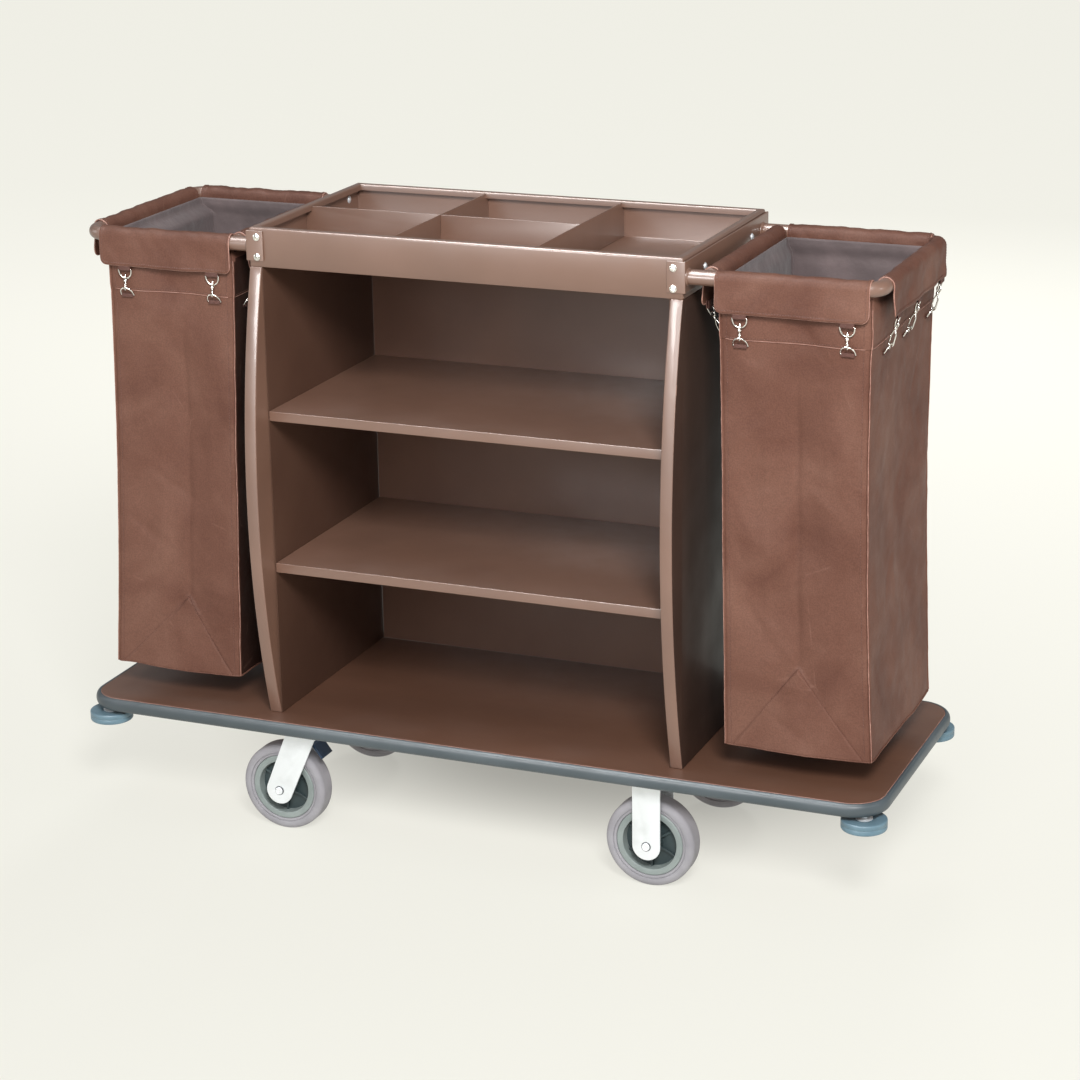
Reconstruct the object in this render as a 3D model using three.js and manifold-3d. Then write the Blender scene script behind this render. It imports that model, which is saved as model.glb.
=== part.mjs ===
// Housekeeping cart: a low deck on four castors, an open shelf cabinet with a divided tray on
// top, and a laundry bag on a tube frame at each end. Millimetres, +Z up, the open front of the
// cabinet faces -Y, and the origin is on the floor under the middle of the cart.
import * as THREE from 'three';
import { ConvexGeometry } from 'three/addons/geometries/ConvexGeometry.js';
import { mergeVertices } from 'three/addons/utils/BufferGeometryUtils.js';
import Module from 'manifold-3d';

const wasm = await Module();
wasm.setup();

// ---------------------------------------------------------------- driving dimensions
const GAP = 0.3; // left between two pieces that rest on each other
const SIDES = { left: -1, right: 1 };
const ENDS = { front: -1, rear: 1 };

const DECK = { length: 1470, width: 488, thick: 20, top: 226, corner: 56 };
const STRIP = { proud: 9, height: 23, drop: 0.5, round: 5 };

const CABINET = { halfWidth: 388, front: -203, back: 218, top: 1032, panel: 22, bow: 52 };
const SHEET = 1.2; // skin and back sheet of the cabinet
const SHELF = { upper: 780, lower: 506, thick: 2, lip: 17, hem: 12, rearLip: 12 };
const TRAY = { height: 67, wall: 2, rim: 14, rimLip: 9 };
const DIVIDER = { thick: 1.6, top: 3, crossX: 129, lengthwiseY: 8, slack: 0.4 };

const BRACKET = { bottom: 1042, height: 52, thick: 2.5, tab: 32, offset: 1.8 };
const TUBE = { radius: 12.5, wall: 1.5, bend: 30, z: 1067, reach: 705, halfSpan: 190, facets: 16 };
const CROSS_BAR_X = 424;
const FLAP = { inner: 13.1, outer: 15.3, drop: 52 };
const FLAP_SPAN = { outer: [-150, 158], inner: [-170, 170] };
const END_FLAP_SPAN = [440, 674];

const BAG_WALL = 3;
const BAG_CORNER = 17;
// Outline of each bag at four heights, from its bottom up to the neck between the tubes. The left
// bag hangs closer to the cabinet than the right one.
const NECK_RINGS = [
  { z: 1050, x: [437, 692], y: [-177, 177] },
  { z: 1066.5, x: [437, 692], y: [-177, 177] },
];
const BAG_RINGS = {
  left: [
    { z: 278, x: [453, 703], y: [-190, 172] },
    { z: 1024, x: [428, 670], y: [-190, 183] },
    ...NECK_RINGS,
  ],
  right: [
    { z: 278, x: [458, 708], y: [-190, 172] },
    { z: 1036, x: [443, 693], y: [-190, 183] },
    ...NECK_RINGS,
  ],
};

const WHEEL = { radius: 80, width: 42, seat: 60, opening: 49, sides: 32 };
const HUB = { bossRadius: 16, bossHalf: 28, web: 6, rimHalf: 19, bore: 6 };
const AXLE = { radius: 5.5, head: 8, headHeight: 7, reach: 46 };
const FORK = { halfWidth: 35.7, sheet: 3.5, tip: 25 };
const CASTOR = { x: 326, y: 178, trail: 46, plateX: 100, plateY: 84, plate: 4 };
const RIGID = { topHalf: 25 };
const SWIVEL = { topHalf: 29, crownTop: 189.7, crown: 4, race: 30, bore: 7, kingpin: 6, nut: 10 };
const PEDAL = {
  pivotX: 14, pivotZ: 172, pin: 2.5, sleeve: 4.5, width: 38, thick: 4, length: 33, slope: 0.93,
};

const ROLLER = { x: 707.5, y: 216.5, radius: 38.5, bottom: 175, height: 18, bore: 6 };
const ROLLER_BOLT = { shank: 5, head: 10, headHeight: 4, washer: 15, washerThick: 2.5 };

// ---------------------------------------------------------------- finishes
const FINISH = {
  board: { color: 0x734b3a, roughness: 0.45, metalness: 0 },
  paint: { color: 0x7a5646, roughness: 0.45, metalness: 0.1 },
  strip: { color: 0x5f6a70, roughness: 0.5, metalness: 0 },
  fabric: { color: 0x875a4e, roughness: 0.8, metalness: 0 },
  zinc: { color: 0xc9ced2, roughness: 0.3, metalness: 0.9 },
  tread: { color: 0xa8a6aa, roughness: 0.7, metalness: 0 },
  hub: { color: 0x7f8a8c, roughness: 0.5, metalness: 0 },
  roller: { color: 0x7f9fb0, roughness: 0.45, metalness: 0 },
  pedal: { color: 0x1e3a55, roughness: 0.5, metalness: 0 },
};

const cart = new THREE.Group();

function add(name, geometry, finish, place = [0, 0, 0]) {
  const mesh = new THREE.Mesh(geometry, new THREE.MeshStandardMaterial(FINISH[finish]));
  mesh.name = name;
  mesh.position.set(...place);
  cart.add(mesh);
}

// ---------------------------------------------------------------- geometry helpers
const X = new THREE.Vector3(1, 0, 0);
const Y = new THREE.Vector3(0, 1, 0);
const Z = new THREE.Vector3(0, 0, 1);

function box(x, y, z) {
  const geometry = new THREE.BoxGeometry(x[1] - x[0], y[1] - y[0], z[1] - z[0]);
  return geometry.translate((x[0] + x[1]) / 2, (y[0] + y[1]) / 2, (z[0] + z[1]) / 2);
}

function polygon(points) {
  return new THREE.Shape(points.map(([a, b]) => new THREE.Vector2(a, b)));
}

function prism(shape, depth, options = {}) {
  return new THREE.ExtrudeGeometry(shape, { depth, bevelEnabled: false, ...options });
}

// Outline drawn in Y and Z, given thickness along X.
function prismAlongX(shape, x0, x1, options) {
  const turn = new THREE.Matrix4().makeBasis(Y, Z, X);
  return prism(shape, x1 - x0, options).applyMatrix4(turn).translate(x0, 0, 0);
}

// Outline drawn in X and Z, given thickness along Y.
function prismAlongY(shape, y0, y1, options) {
  const turn = new THREE.Matrix4().makeBasis(X, Z, Y.clone().negate());
  return prism(shape, y1 - y0, options).applyMatrix4(turn).translate(0, y1, 0);
}

// Profile of [radius, height] points, counter-clockwise, turned about Y into a closed ring or,
// where its first and last points are on the axis, into a solid of revolution.
function turned(profile, sides, phase = 0) {
  const closed = profile[0][0] === 0 ? profile : [...profile, profile[0]];
  const points = closed.map(([r, h]) => new THREE.Vector2(r, h));
  return new THREE.LatheGeometry(points, sides, phase);
}

function upright(geometry) {
  return geometry.rotateX(Math.PI / 2);
}

function roundedRectangle(halfX, halfY, radius, ShapeClass = THREE.Shape) {
  const outline = new ShapeClass();
  const quarter = Math.PI / 2;
  outline.absarc(halfX - radius, -halfY + radius, radius, -quarter, 0);
  outline.absarc(halfX - radius, halfY - radius, radius, 0, quarter);
  outline.absarc(-halfX + radius, halfY - radius, radius, quarter, 2 * quarter);
  outline.absarc(-halfX + radius, -halfY + radius, radius, 2 * quarter, 3 * quarter);
  return outline;
}

function solid(geometry) {
  const bare = geometry.clone();
  bare.deleteAttribute('normal');
  bare.deleteAttribute('uv');
  const merged = mergeVertices(bare, 1e-4);
  const vertProperties = new Float32Array(merged.attributes.position.array);
  const triVerts = new Uint32Array(merged.index.array);
  return new wasm.Manifold(new wasm.Mesh({ numProp: 3, vertProperties, triVerts }));
}

function surface(manifold) {
  const { vertProperties, triVerts } = manifold.getMesh();
  const geometry = new THREE.BufferGeometry();
  geometry.setAttribute('position', new THREE.BufferAttribute(vertProperties, 3));
  geometry.setIndex(new THREE.BufferAttribute(triVerts, 1));
  return geometry;
}

function join(...geometries) {
  const [first, ...rest] = geometries.map(solid);
  return surface(rest.reduce((sum, piece) => sum.add(piece), first));
}

function cut(geometry, ...tools) {
  return surface(tools.map(solid).reduce((sum, tool) => sum.subtract(tool), solid(geometry)));
}

// ---------------------------------------------------------------- deck and bumper strip
function deck() {
  const { length, width, thick, top, corner } = DECK;
  const outline = roundedRectangle(length / 2, width / 2, corner);
  add('deck_board', prism(outline, thick, { curveSegments: 8 }), 'board', [0, 0, top - thick]);
}

function bumperStrip() {
  const halfX = DECK.length / 2;
  const halfY = DECK.width / 2;
  const { proud, height, drop, round } = STRIP;
  const ring = roundedRectangle(halfX + proud, halfY + proud, DECK.corner + proud);
  ring.holes.push(roundedRectangle(halfX + GAP, halfY + GAP, DECK.corner + GAP, THREE.Path));
  const lower = prism(ring, height, { curveSegments: 8 });
  const shave = roundedRectangle(halfX + 2 * proud, halfY + 2 * proud, DECK.corner + 2 * proud);
  const slope = proud - round / 2;
  shave.holes.push(roundedRectangle(halfX + slope, halfY + slope, DECK.corner + slope, THREE.Path));
  const topEdge = prism(shave, round, { curveSegments: 8 });
  const strip = cut(lower, topEdge.clone().translate(0, 0, -round / 2),
    topEdge.clone().translate(0, 0, height - round / 2));
  add('bumper_strip', strip, 'strip', [0, 0, DECK.top - drop - height]);
}

// ---------------------------------------------------------------- cabinet
function bowedPanelOutline() {
  const { front, back, top, bow } = CABINET;
  const bottom = DECK.top + GAP;
  const upper = top - GAP;
  const halfChord = (upper - bottom) / 2;
  const radius = (halfChord ** 2 + bow ** 2) / (2 * bow);
  const sweep = Math.asin(halfChord / radius);
  const outline = new THREE.Shape();
  outline.moveTo(back, bottom);
  outline.lineTo(front, bottom);
  outline.absarc(front - bow + radius, bottom + halfChord, radius, Math.PI + sweep,
    Math.PI - sweep, true);
  outline.lineTo(back, upper);
  return outline;
}

function cabinetSides() {
  const outer = CABINET.halfWidth;
  const inner = outer - CABINET.panel;
  const z = [DECK.top + GAP, CABINET.top - GAP];
  const y = [CABINET.front, CABINET.back - GAP];
  for (const [name, side] of Object.entries(SIDES)) {
    const [x0, x1] = side < 0 ? [-outer, -inner] : [inner, outer];
    const panel = prismAlongX(bowedPanelOutline(), x0, x1, { curveSegments: 24 });
    add(`side_panel_${name}`, panel, 'board');
    const skin = [side * (inner - GAP - SHEET), side * (inner - GAP)].sort((a, b) => a - b);
    add(`side_skin_${name}`, box(skin, y, z), 'paint');
  }
}

const BAY_HALF = CABINET.halfWidth - CABINET.panel - SHEET - 2 * GAP;

function backPanel() {
  const back = CABINET.back - GAP;
  const z = [DECK.top + GAP, CABINET.top - GAP];
  add('back_panel', box([-BAY_HALF, BAY_HALF], [back - SHEET, back], z), 'paint');
}

function shelfProfile(top) {
  const { thick, lip, hem, rearLip } = SHELF;
  const front = CABINET.front;
  const back = CABINET.back - SHEET - 2 * GAP;
  return polygon([
    [front, top], [front, top - lip], [front + hem, top - lip], [front + hem, top - lip + thick],
    [front + thick, top - lip + thick], [front + thick, top - thick], [back - thick, top - thick],
    [back - thick, top - rearLip], [back, top - rearLip], [back, top],
  ]);
}

function shelves() {
  for (const level of ['upper', 'lower']) {
    const shelf = prismAlongX(shelfProfile(SHELF[level]), -BAY_HALF, BAY_HALF);
    add(`${level}_shelf`, shelf, 'paint');
  }
}

// ---------------------------------------------------------------- tray
function span(half, inset) {
  return [-half + inset, half - inset];
}

function depth(inset) {
  return [CABINET.front + inset, CABINET.back - inset];
}

function tray() {
  const { height, wall, rim, rimLip } = TRAY;
  const half = CABINET.halfWidth;
  const base = CABINET.top;
  const top = base + height;
  const flange = top - wall;
  const shell = cut(
    box(span(half, 0), depth(0), [base, top]),
    box(span(half, wall), depth(wall), [base + wall, flange]),
    box(span(half, rim), depth(rim), [flange - 1, top + 1]),
  );
  const lip = cut(
    box(span(half, rim - wall), depth(rim - wall), [top - rimLip, top - wall / 2]),
    box(span(half, rim), depth(rim), [top - rimLip - 1, top]),
  );
  add('tray', join(shell, lip), 'paint');
}

// A divider plate lies under the rim's lip at both ends, so its upper corners are notched.
function dividerOutline(start, end, notchStart, notchEnd) {
  const bottom = CABINET.top + TRAY.wall + GAP;
  const top = CABINET.top + TRAY.height - DIVIDER.top;
  const shoulder = CABINET.top + TRAY.height - TRAY.rimLip - GAP;
  const outline = [[start, bottom], [end, bottom]];
  if (notchEnd) outline.push([end, shoulder], [end - notchEnd, shoulder], [end - notchEnd, top]);
  else outline.push([end, top]);
  if (notchStart) {
    outline.push([start + notchStart, top], [start + notchStart, shoulder], [start, shoulder]);
  } else {
    outline.push([start, top]);
  }
  return polygon(outline);
}

function dividers() {
  const { thick, crossX, lengthwiseY, slack } = DIVIDER;
  const notch = TRAY.rim - TRAY.wall;
  const half = thick / 2;
  const crossing = (CABINET.top + TRAY.wall + CABINET.top + TRAY.height - DIVIDER.top) / 2;
  const [y0, y1] = depth(TRAY.wall + GAP);
  const acrossOutline = dividerOutline(y0, y1, notch, notch);
  const above = [crossing - slack / 2, CABINET.top + TRAY.height];
  const below = [CABINET.top, crossing + slack / 2];
  for (const [name, side] of Object.entries(SIDES)) {
    const x = side * crossX;
    let plate = prismAlongX(acrossOutline, x - half, x + half);
    if (side < 0) {
      const slot = box([x - thick, x + thick], span(half + slack, 0).map((y) => y + lengthwiseY), below);
      plate = cut(plate, slot);
    }
    add(`cross_divider_${name}`, plate, 'paint');
  }
  const start = -CABINET.halfWidth + TRAY.wall + GAP;
  const end = crossX - half - GAP;
  const lengthwise = prismAlongY(dividerOutline(start, end, notch, 0), lengthwiseY - half,
    lengthwiseY + half);
  const slot = box(span(half + slack, 0).map((x) => x - crossX),
    [lengthwiseY - thick, lengthwiseY + thick], above);
  add('long_divider', cut(lengthwise, slot), 'paint');
}

// ---------------------------------------------------------------- bag brackets, tubes and bars
function bracketOutline(side) {
  const { thick, tab, offset } = BRACKET;
  const inner = CABINET.halfWidth + offset;
  const outer = inner + thick;
  const tip = outer - tab;
  const front = CABINET.front - GAP;
  const back = CABINET.back + GAP;
  return polygon([
    [tip, front - thick], [outer, front - thick], [outer, back + thick], [tip, back + thick],
    [tip, back], [inner, back], [inner, front], [tip, front],
  ].map(([x, y]) => [side * x, y]));
}

// Path through corner points with an arc at each inner corner. Each straight is one step and
// each bend is BEND_STEPS steps, so that the sections crowd only where the tube turns.
const BEND_STEPS = 6;

class BentPath extends THREE.Curve {
  constructor(corners, radius) {
    super();
    this.pieces = [];
    let from = corners[0];
    for (let i = 1; i < corners.length - 1; i += 1) {
      const into = corners[i].clone().sub(corners[i - 1]).normalize();
      const out = corners[i + 1].clone().sub(corners[i]).normalize();
      const start = corners[i].clone().addScaledVector(into, -radius);
      this.addStraight(from, start);
      this.addBend(start, into, out, radius);
      from = corners[i].clone().addScaledVector(out, radius);
    }
    this.addStraight(from, corners.at(-1));
    this.steps = this.pieces.reduce((sum, piece) => sum + piece.steps, 0);
  }

  addStraight(from, to) {
    this.pieces.push({ steps: 1, at: (t) => from.clone().lerp(to, t) });
  }

  addBend(start, into, out, radius) {
    const centre = start.clone().addScaledVector(out, radius);
    this.pieces.push({
      steps: BEND_STEPS,
      at: (t) => centre.clone()
        .addScaledVector(out, -radius * Math.cos(t * Math.PI / 2))
        .addScaledVector(into, radius * Math.sin(t * Math.PI / 2)),
    });
  }

  getPoint(t) {
    let rest = Math.min(t, 1) * this.steps;
    for (const piece of this.pieces) {
      if (rest <= piece.steps) return piece.at(rest / piece.steps);
      rest -= piece.steps;
    }
    return this.pieces.at(-1).at(1);
  }

  getUtoTmapping(u) {
    return u;
  }
}

function circle(radius, ShapeClass = THREE.Shape) {
  return new ShapeClass().absarc(0, 0, radius, 0, 2 * Math.PI);
}

function pipe(path, steps) {
  const section = circle(TUBE.radius);
  section.holes.push(circle(TUBE.radius - TUBE.wall, THREE.Path));
  return new THREE.ExtrudeGeometry(section, {
    extrudePath: path, steps, curveSegments: TUBE.facets / 2, bevelEnabled: false,
  });
}

function bagFrames() {
  const { reach, halfSpan, z, bend, radius } = TUBE;
  const root = CABINET.halfWidth + BRACKET.offset + BRACKET.thick + GAP;
  const barHalf = halfSpan - radius - GAP;
  for (const [name, side] of Object.entries(SIDES)) {
    const bracket = prism(bracketOutline(side), BRACKET.height);
    add(`bag_bracket_${name}`, bracket, 'paint', [0, 0, BRACKET.bottom]);
    const corners = [[root, -halfSpan], [reach, -halfSpan], [reach, halfSpan], [root, halfSpan]]
      .map(([x, y]) => new THREE.Vector3(side * x, y, z));
    const path = new BentPath(corners, bend);
    add(`bag_frame_${name}`, pipe(path, path.steps), 'paint');
    const x = side * CROSS_BAR_X;
    const bar = new THREE.LineCurve3(
      new THREE.Vector3(x, -barHalf, z), new THREE.Vector3(x, barHalf, z));
    add(`cross_bar_${name}`, pipe(bar, 1), 'paint');
  }
}

// ---------------------------------------------------------------- laundry bags
function ringPoints(ring, side, inset) {
  const r = Math.max(BAG_CORNER - inset, 1);
  const [x0, x1] = [ring.x[0] + inset, ring.x[1] - inset];
  const [y0, y1] = [ring.y[0] + inset, ring.y[1] - inset];
  const corners = [[x1 - r, y1 - r, 0], [x0 + r, y1 - r, 1], [x0 + r, y0 + r, 2], [x1 - r, y0 + r, 3]];
  const points = [];
  for (const [cx, cy, quarter] of corners) {
    for (const step of [0, 0.5, 1]) {
      const a = (quarter + step) * Math.PI / 2;
      points.push(new THREE.Vector3(side * (cx + r * Math.cos(a)), cy + r * Math.sin(a), ring.z));
    }
  }
  return points;
}

function bagStack(rings, side, inset) {
  const slabs = rings.slice(1).map((ring, i) => new ConvexGeometry(
    [...ringPoints(rings[i], side, inset), ...ringPoints(ring, side, inset)]));
  return join(...slabs);
}

// The cavity starts one wall thickness above the bottom and runs out through the mouth.
function bagBody(rings, side) {
  const inside = rings.map((ring) => (
    ring === rings[0] || ring === rings.at(-1) ? { ...ring, z: ring.z + BAG_WALL } : ring));
  return cut(bagStack(rings, side, 0), bagStack(inside, side, BAG_WALL));
}

// Fabric folded over a tube: half a turn over the top and a straight drop on the outside.
function flapSection() {
  const { inner, outer, drop } = FLAP;
  const section = new THREE.Shape();
  section.moveTo(outer, -drop);
  section.lineTo(outer, 0);
  section.absarc(0, 0, outer, 0, Math.PI);
  section.lineTo(-inner, 0);
  section.absarc(0, 0, inner, Math.PI, 0, true);
  section.lineTo(inner, -drop);
  return section;
}

function flap(outward, centre, length) {
  const along = outward.clone().cross(Z);
  const turn = new THREE.Matrix4().makeBasis(outward, Z, along);
  const strip = prism(flapSection(), length, { curveSegments: 8 }).translate(0, 0, -length / 2);
  return strip.applyMatrix4(turn).translate(...centre);
}

function bags() {
  const { halfSpan, reach, z } = TUBE;
  for (const [name, side] of Object.entries(SIDES)) {
    add(`bag_${name}`, bagBody(BAG_RINGS[name], side), 'fabric');
    const [x0, x1] = END_FLAP_SPAN;
    for (const [end, sign] of Object.entries(ENDS)) {
      const outward = Y.clone().multiplyScalar(sign);
      const centre = [side * (x0 + x1) / 2, sign * halfSpan, z];
      add(`bag_${name}_flap_${end}`, flap(outward, centre, x1 - x0), 'fabric');
    }
    for (const [place, x, sign] of [['outer', reach, side], ['inner', CROSS_BAR_X, -side]]) {
      const [y0, y1] = FLAP_SPAN[place];
      const outward = X.clone().multiplyScalar(sign);
      const strip = flap(outward, [side * x, (y0 + y1) / 2, z], y1 - y0);
      add(`bag_${name}_flap_${place}`, strip, 'fabric');
    }
  }
}

// ---------------------------------------------------------------- castors
// Tread ring with a flat facet at its lowest point, so that the wheel stands at its full radius.
function tyre() {
  const { radius, width, seat, sides } = WHEEL;
  const outward = 1 / Math.cos(Math.PI / sides);
  const half = width / 2;
  const profile = [
    [seat + GAP, -half + 3], [radius - 8, -half], [radius - 2.5, -half + 3], [radius, -half + 11],
    [radius, half - 11], [radius - 2.5, half - 3], [radius - 8, half], [seat + GAP, half - 3],
  ].map(([r, h]) => [r * outward, h]);
  return turned(profile, sides, Math.PI / sides);
}

function hub() {
  const { seat, opening, sides } = WHEEL;
  const { bossRadius, bossHalf, web, rimHalf, bore } = HUB;
  const profile = [
    [bore, -bossHalf], [bossRadius, -bossHalf], [bossRadius + 2, -web], [opening, -web],
    [opening, -rimHalf], [seat, -rimHalf], [seat, rimHalf], [opening, rimHalf], [opening, web],
    [bossRadius + 2, web], [bossRadius, bossHalf], [bore, bossHalf],
  ];
  return turned(profile, sides, Math.PI / sides);
}

function axle() {
  const { radius, head, headHeight, reach } = AXLE;
  const face = FORK.halfWidth + GAP;
  const profile = [
    [0, -face - headHeight], [head, -face - headHeight], [head, -face], [radius, -face],
    [radius, reach - 4], [radius - 1, reach], [0, reach],
  ];
  return turned(profile, 16);
}

// Fork leg: sides run from the top corners to meet the rounded tip round the axle at a tangent.
function legOutline(topHalf, topZ, axleX) {
  const tip = FORK.tip;
  const axleZ = WHEEL.radius;
  const touch = (x, turn) => {
    const rise = topZ - axleZ;
    const distance = Math.hypot(x - axleX, rise);
    return Math.atan2(rise, x - axleX) + turn * Math.acos(tip / distance);
  };
  const outline = new THREE.Shape();
  outline.moveTo(-topHalf, topZ);
  outline.lineTo(topHalf, topZ);
  outline.absarc(axleX, axleZ, tip, touch(topHalf, -1), touch(-topHalf, 1) - 2 * Math.PI, true);
  return outline;
}

function rod(radius, from, to, sides = 20) {
  return turned([[0, from], [radius, from], [radius, to], [0, to]], sides);
}

// Fork about its own origin: the castor's middle in X and Y, and the floor in Z.
function fork(topHalf, legTop, trail, crown) {
  const { halfWidth, sheet } = FORK;
  const outline = legOutline(topHalf, legTop, trail);
  const legs = [-1, 1].map((side) => {
    const y = [side * halfWidth, side * (halfWidth - sheet)].sort((a, b) => a - b);
    return prismAlongY(outline, ...y, { curveSegments: 10 });
  });
  const bore = rod(AXLE.radius + GAP, -halfWidth - 1, halfWidth + 1)
    .translate(trail, 0, WHEEL.radius);
  return cut(join(crown, ...legs), bore);
}

function rigidFork() {
  const top = DECK.top - DECK.thick - GAP;
  const x = span(CASTOR.plateX / 2, 0);
  const plate = box(x, span(CASTOR.plateY / 2, 0), [top - CASTOR.plate, top]);
  return fork(RIGID.topHalf, top - CASTOR.plate / 2, 0, plate);
}

function swivelFork(trail) {
  const { topHalf, crownTop, crown, bore } = SWIVEL;
  const y = span(FORK.halfWidth, 0);
  const plate = box(span(topHalf, 0), y, [crownTop - crown, crownTop]);
  const hole = upright(rod(bore, crownTop - crown - 1, crownTop + 1));
  return fork(topHalf, crownTop, trail, cut(plate, hole));
}

function swivelPlate() {
  const top = DECK.top - DECK.thick - GAP;
  const { crownTop, race, kingpin } = SWIVEL;
  const plate = box(span(CASTOR.plateX / 2, 0), span(CASTOR.plateY / 2, 0), [top - CASTOR.plate, top]);
  const ball = upright(rod(race, crownTop + GAP, top - 1, 24));
  const bore = upright(rod(kingpin + GAP, crownTop - 1, top + 1, 24));
  return cut(join(plate, ball), bore);
}

function kingpin() {
  const { crownTop, crown, kingpin: radius, nut } = SWIVEL;
  const under = crownTop - crown - GAP;
  const top = DECK.top - DECK.thick - 2 * GAP;
  const profile = [
    [0, under - 10], [radius, under - 10], [radius, under - 8], [nut, under - 8], [nut, under],
    [radius, under], [radius, top], [0, top],
  ];
  return upright(turned(profile, 16));
}

// Foot pedal on a cross pin between the fork's legs, sloping down over the leading side of the
// tread, where pushing it down presses on the wheel.
function brakePedal() {
  const { pin, sleeve, width, thick, length, slope } = PEDAL;
  const pinEnds = span(FORK.halfWidth - FORK.sheet - GAP, 0);
  const across = span(width / 2, 0);
  const plate = box([0, length], across, [-thick / 2, thick / 2]).rotateY(slope);
  return join(rod(pin, ...pinEnds, 16), rod(sleeve, ...across, 16), plate);
}

function wheelSet(name, x, y) {
  add(`tyre_${name}`, tyre(), 'tread', [x, y, WHEEL.radius]);
  add(`hub_${name}`, hub(), 'hub', [x, y, WHEEL.radius]);
  const bolt = y < 0 ? axle() : axle().rotateZ(Math.PI);
  add(`axle_${name}`, bolt, 'zinc', [x, y, WHEEL.radius]);
}

function castors() {
  for (const [end, sign] of Object.entries(ENDS)) {
    const y = sign * CASTOR.y;
    add(`fork_${end}_right`, rigidFork(), 'zinc', [CASTOR.x, y, 0]);
    wheelSet(`${end}_right`, CASTOR.x, y);
    const pivot = -CASTOR.x;
    add(`swivel_plate_${end}_left`, swivelPlate(), 'zinc', [pivot, y, 0]);
    add(`kingpin_${end}_left`, kingpin(), 'zinc', [pivot, y, 0]);
    add(`fork_${end}_left`, swivelFork(-CASTOR.trail), 'zinc', [pivot, y, 0]);
    wheelSet(`${end}_left`, pivot - CASTOR.trail, y);
    const pedalAt = [pivot + PEDAL.pivotX, y, PEDAL.pivotZ];
    add(`brake_pedal_${end}_left`, brakePedal(), 'pedal', pedalAt);
  }
}

// ---------------------------------------------------------------- corner rollers
function roller() {
  const { radius, height, bore } = ROLLER;
  const profile = [
    [bore, 2], [18, 2], [20, 0], [radius - 2, 0], [radius, 2], [radius, height - 2],
    [radius - 2, height], [20, height], [18, height - 2], [bore, height - 2],
  ];
  return upright(turned(profile, 24));
}

function rollerBolt() {
  const { shank, head, headHeight, washer, washerThick } = ROLLER_BOLT;
  const rise = ROLLER.height - 2 + GAP;
  const top = DECK.top - DECK.thick - GAP - ROLLER.bottom;
  const profile = [
    [0, 2 - GAP - headHeight], [head, 2 - GAP - headHeight], [head, 2 - GAP], [shank, 2 - GAP],
    [shank, rise], [washer, rise], [washer, rise + washerThick], [shank + 3, rise + washerThick],
    [shank + 3, top], [0, top],
  ];
  return upright(turned(profile, 16));
}

function cornerRollers() {
  for (const [end, alongY] of Object.entries(ENDS)) {
    for (const [name, alongX] of Object.entries(SIDES)) {
      const place = [alongX * ROLLER.x, alongY * ROLLER.y, ROLLER.bottom];
      add(`roller_${end}_${name}`, roller(), 'roller', place);
      add(`roller_bolt_${end}_${name}`, rollerBolt(), 'zinc', place);
    }
  }
}

deck();
bumperStrip();
cabinetSides();
backPanel();
shelves();
tray();
dividers();
bagFrames();
bags();
castors();
cornerRollers();

export default cart;
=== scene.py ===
"""Looks of the housekeeping cart: soft bags, hardware, rounded sheet metal, castors and materials.

Everything is in metres in the frame of the CAD model: +X along the cart, -Y out of its open
front, +Z up, origin on the floor under the middle.
"""

from math import cos, pi, radians, sin, sqrt
from random import Random

import bmesh
import bpy
from mathutils import Matrix, Vector, noise


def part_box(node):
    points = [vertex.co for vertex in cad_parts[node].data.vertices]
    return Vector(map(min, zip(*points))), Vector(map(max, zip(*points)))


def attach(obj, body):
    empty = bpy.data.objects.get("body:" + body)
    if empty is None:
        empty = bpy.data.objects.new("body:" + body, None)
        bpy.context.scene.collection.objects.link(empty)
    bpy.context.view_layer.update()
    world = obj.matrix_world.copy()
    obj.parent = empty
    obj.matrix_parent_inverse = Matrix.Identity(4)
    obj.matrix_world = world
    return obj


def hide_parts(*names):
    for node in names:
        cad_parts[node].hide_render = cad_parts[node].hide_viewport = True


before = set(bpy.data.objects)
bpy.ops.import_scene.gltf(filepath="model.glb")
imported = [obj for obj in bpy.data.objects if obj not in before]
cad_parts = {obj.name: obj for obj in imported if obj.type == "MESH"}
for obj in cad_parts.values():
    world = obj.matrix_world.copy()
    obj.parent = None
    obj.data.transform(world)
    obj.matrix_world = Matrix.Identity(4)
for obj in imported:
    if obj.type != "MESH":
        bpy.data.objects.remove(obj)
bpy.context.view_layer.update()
noise.seed_set(7)  # noise_vector would otherwise start from the clock

MM = 0.001
SIDES = {"left": -1, "right": 1}
ENDS = {"front": -1, "rear": 1}
FACES = ("front", "rear", "outer", "inner")
X, Y, Z = Vector((1, 0, 0)), Vector((0, 1, 0)), Vector((0, 0, 1))


# ------------------------------------------------------------------ shapes: (points, faces)
def joined(shapes):
    """Several shapes as one."""
    points, faces = [], []
    for shape_points, shape_faces in shapes:
        faces += [[i + len(points) for i in face] for face in shape_faces]
        points += shape_points
    return points, faces


def moved(shape, matrix):
    return [matrix @ Vector(p) for p in shape[0]], shape[1]


def centre_of(node):
    """The middle of a CAD node's box."""
    low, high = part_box(node)
    return Vector([(a + b) / 2 for a, b in zip(low, high)])


def basis(origin, x_axis, y_axis, z_axis):
    """Matrix of a frame at origin with these axes."""
    columns = Matrix((x_axis, y_axis, z_axis)).transposed().to_4x4()
    columns.translation = origin
    return columns


def circle(radius, sides):
    return [(radius * cos(2 * pi * i / sides), radius * sin(2 * pi * i / sides)) for i in range(sides)]


def quarter_turn(steps):
    return [i * pi / 2 / steps for i in range(steps + 1)]


def in_mm(outline):
    """Metres from an outline given in millimetres."""
    return [(a * MM, b * MM) for a, b in outline]


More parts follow.
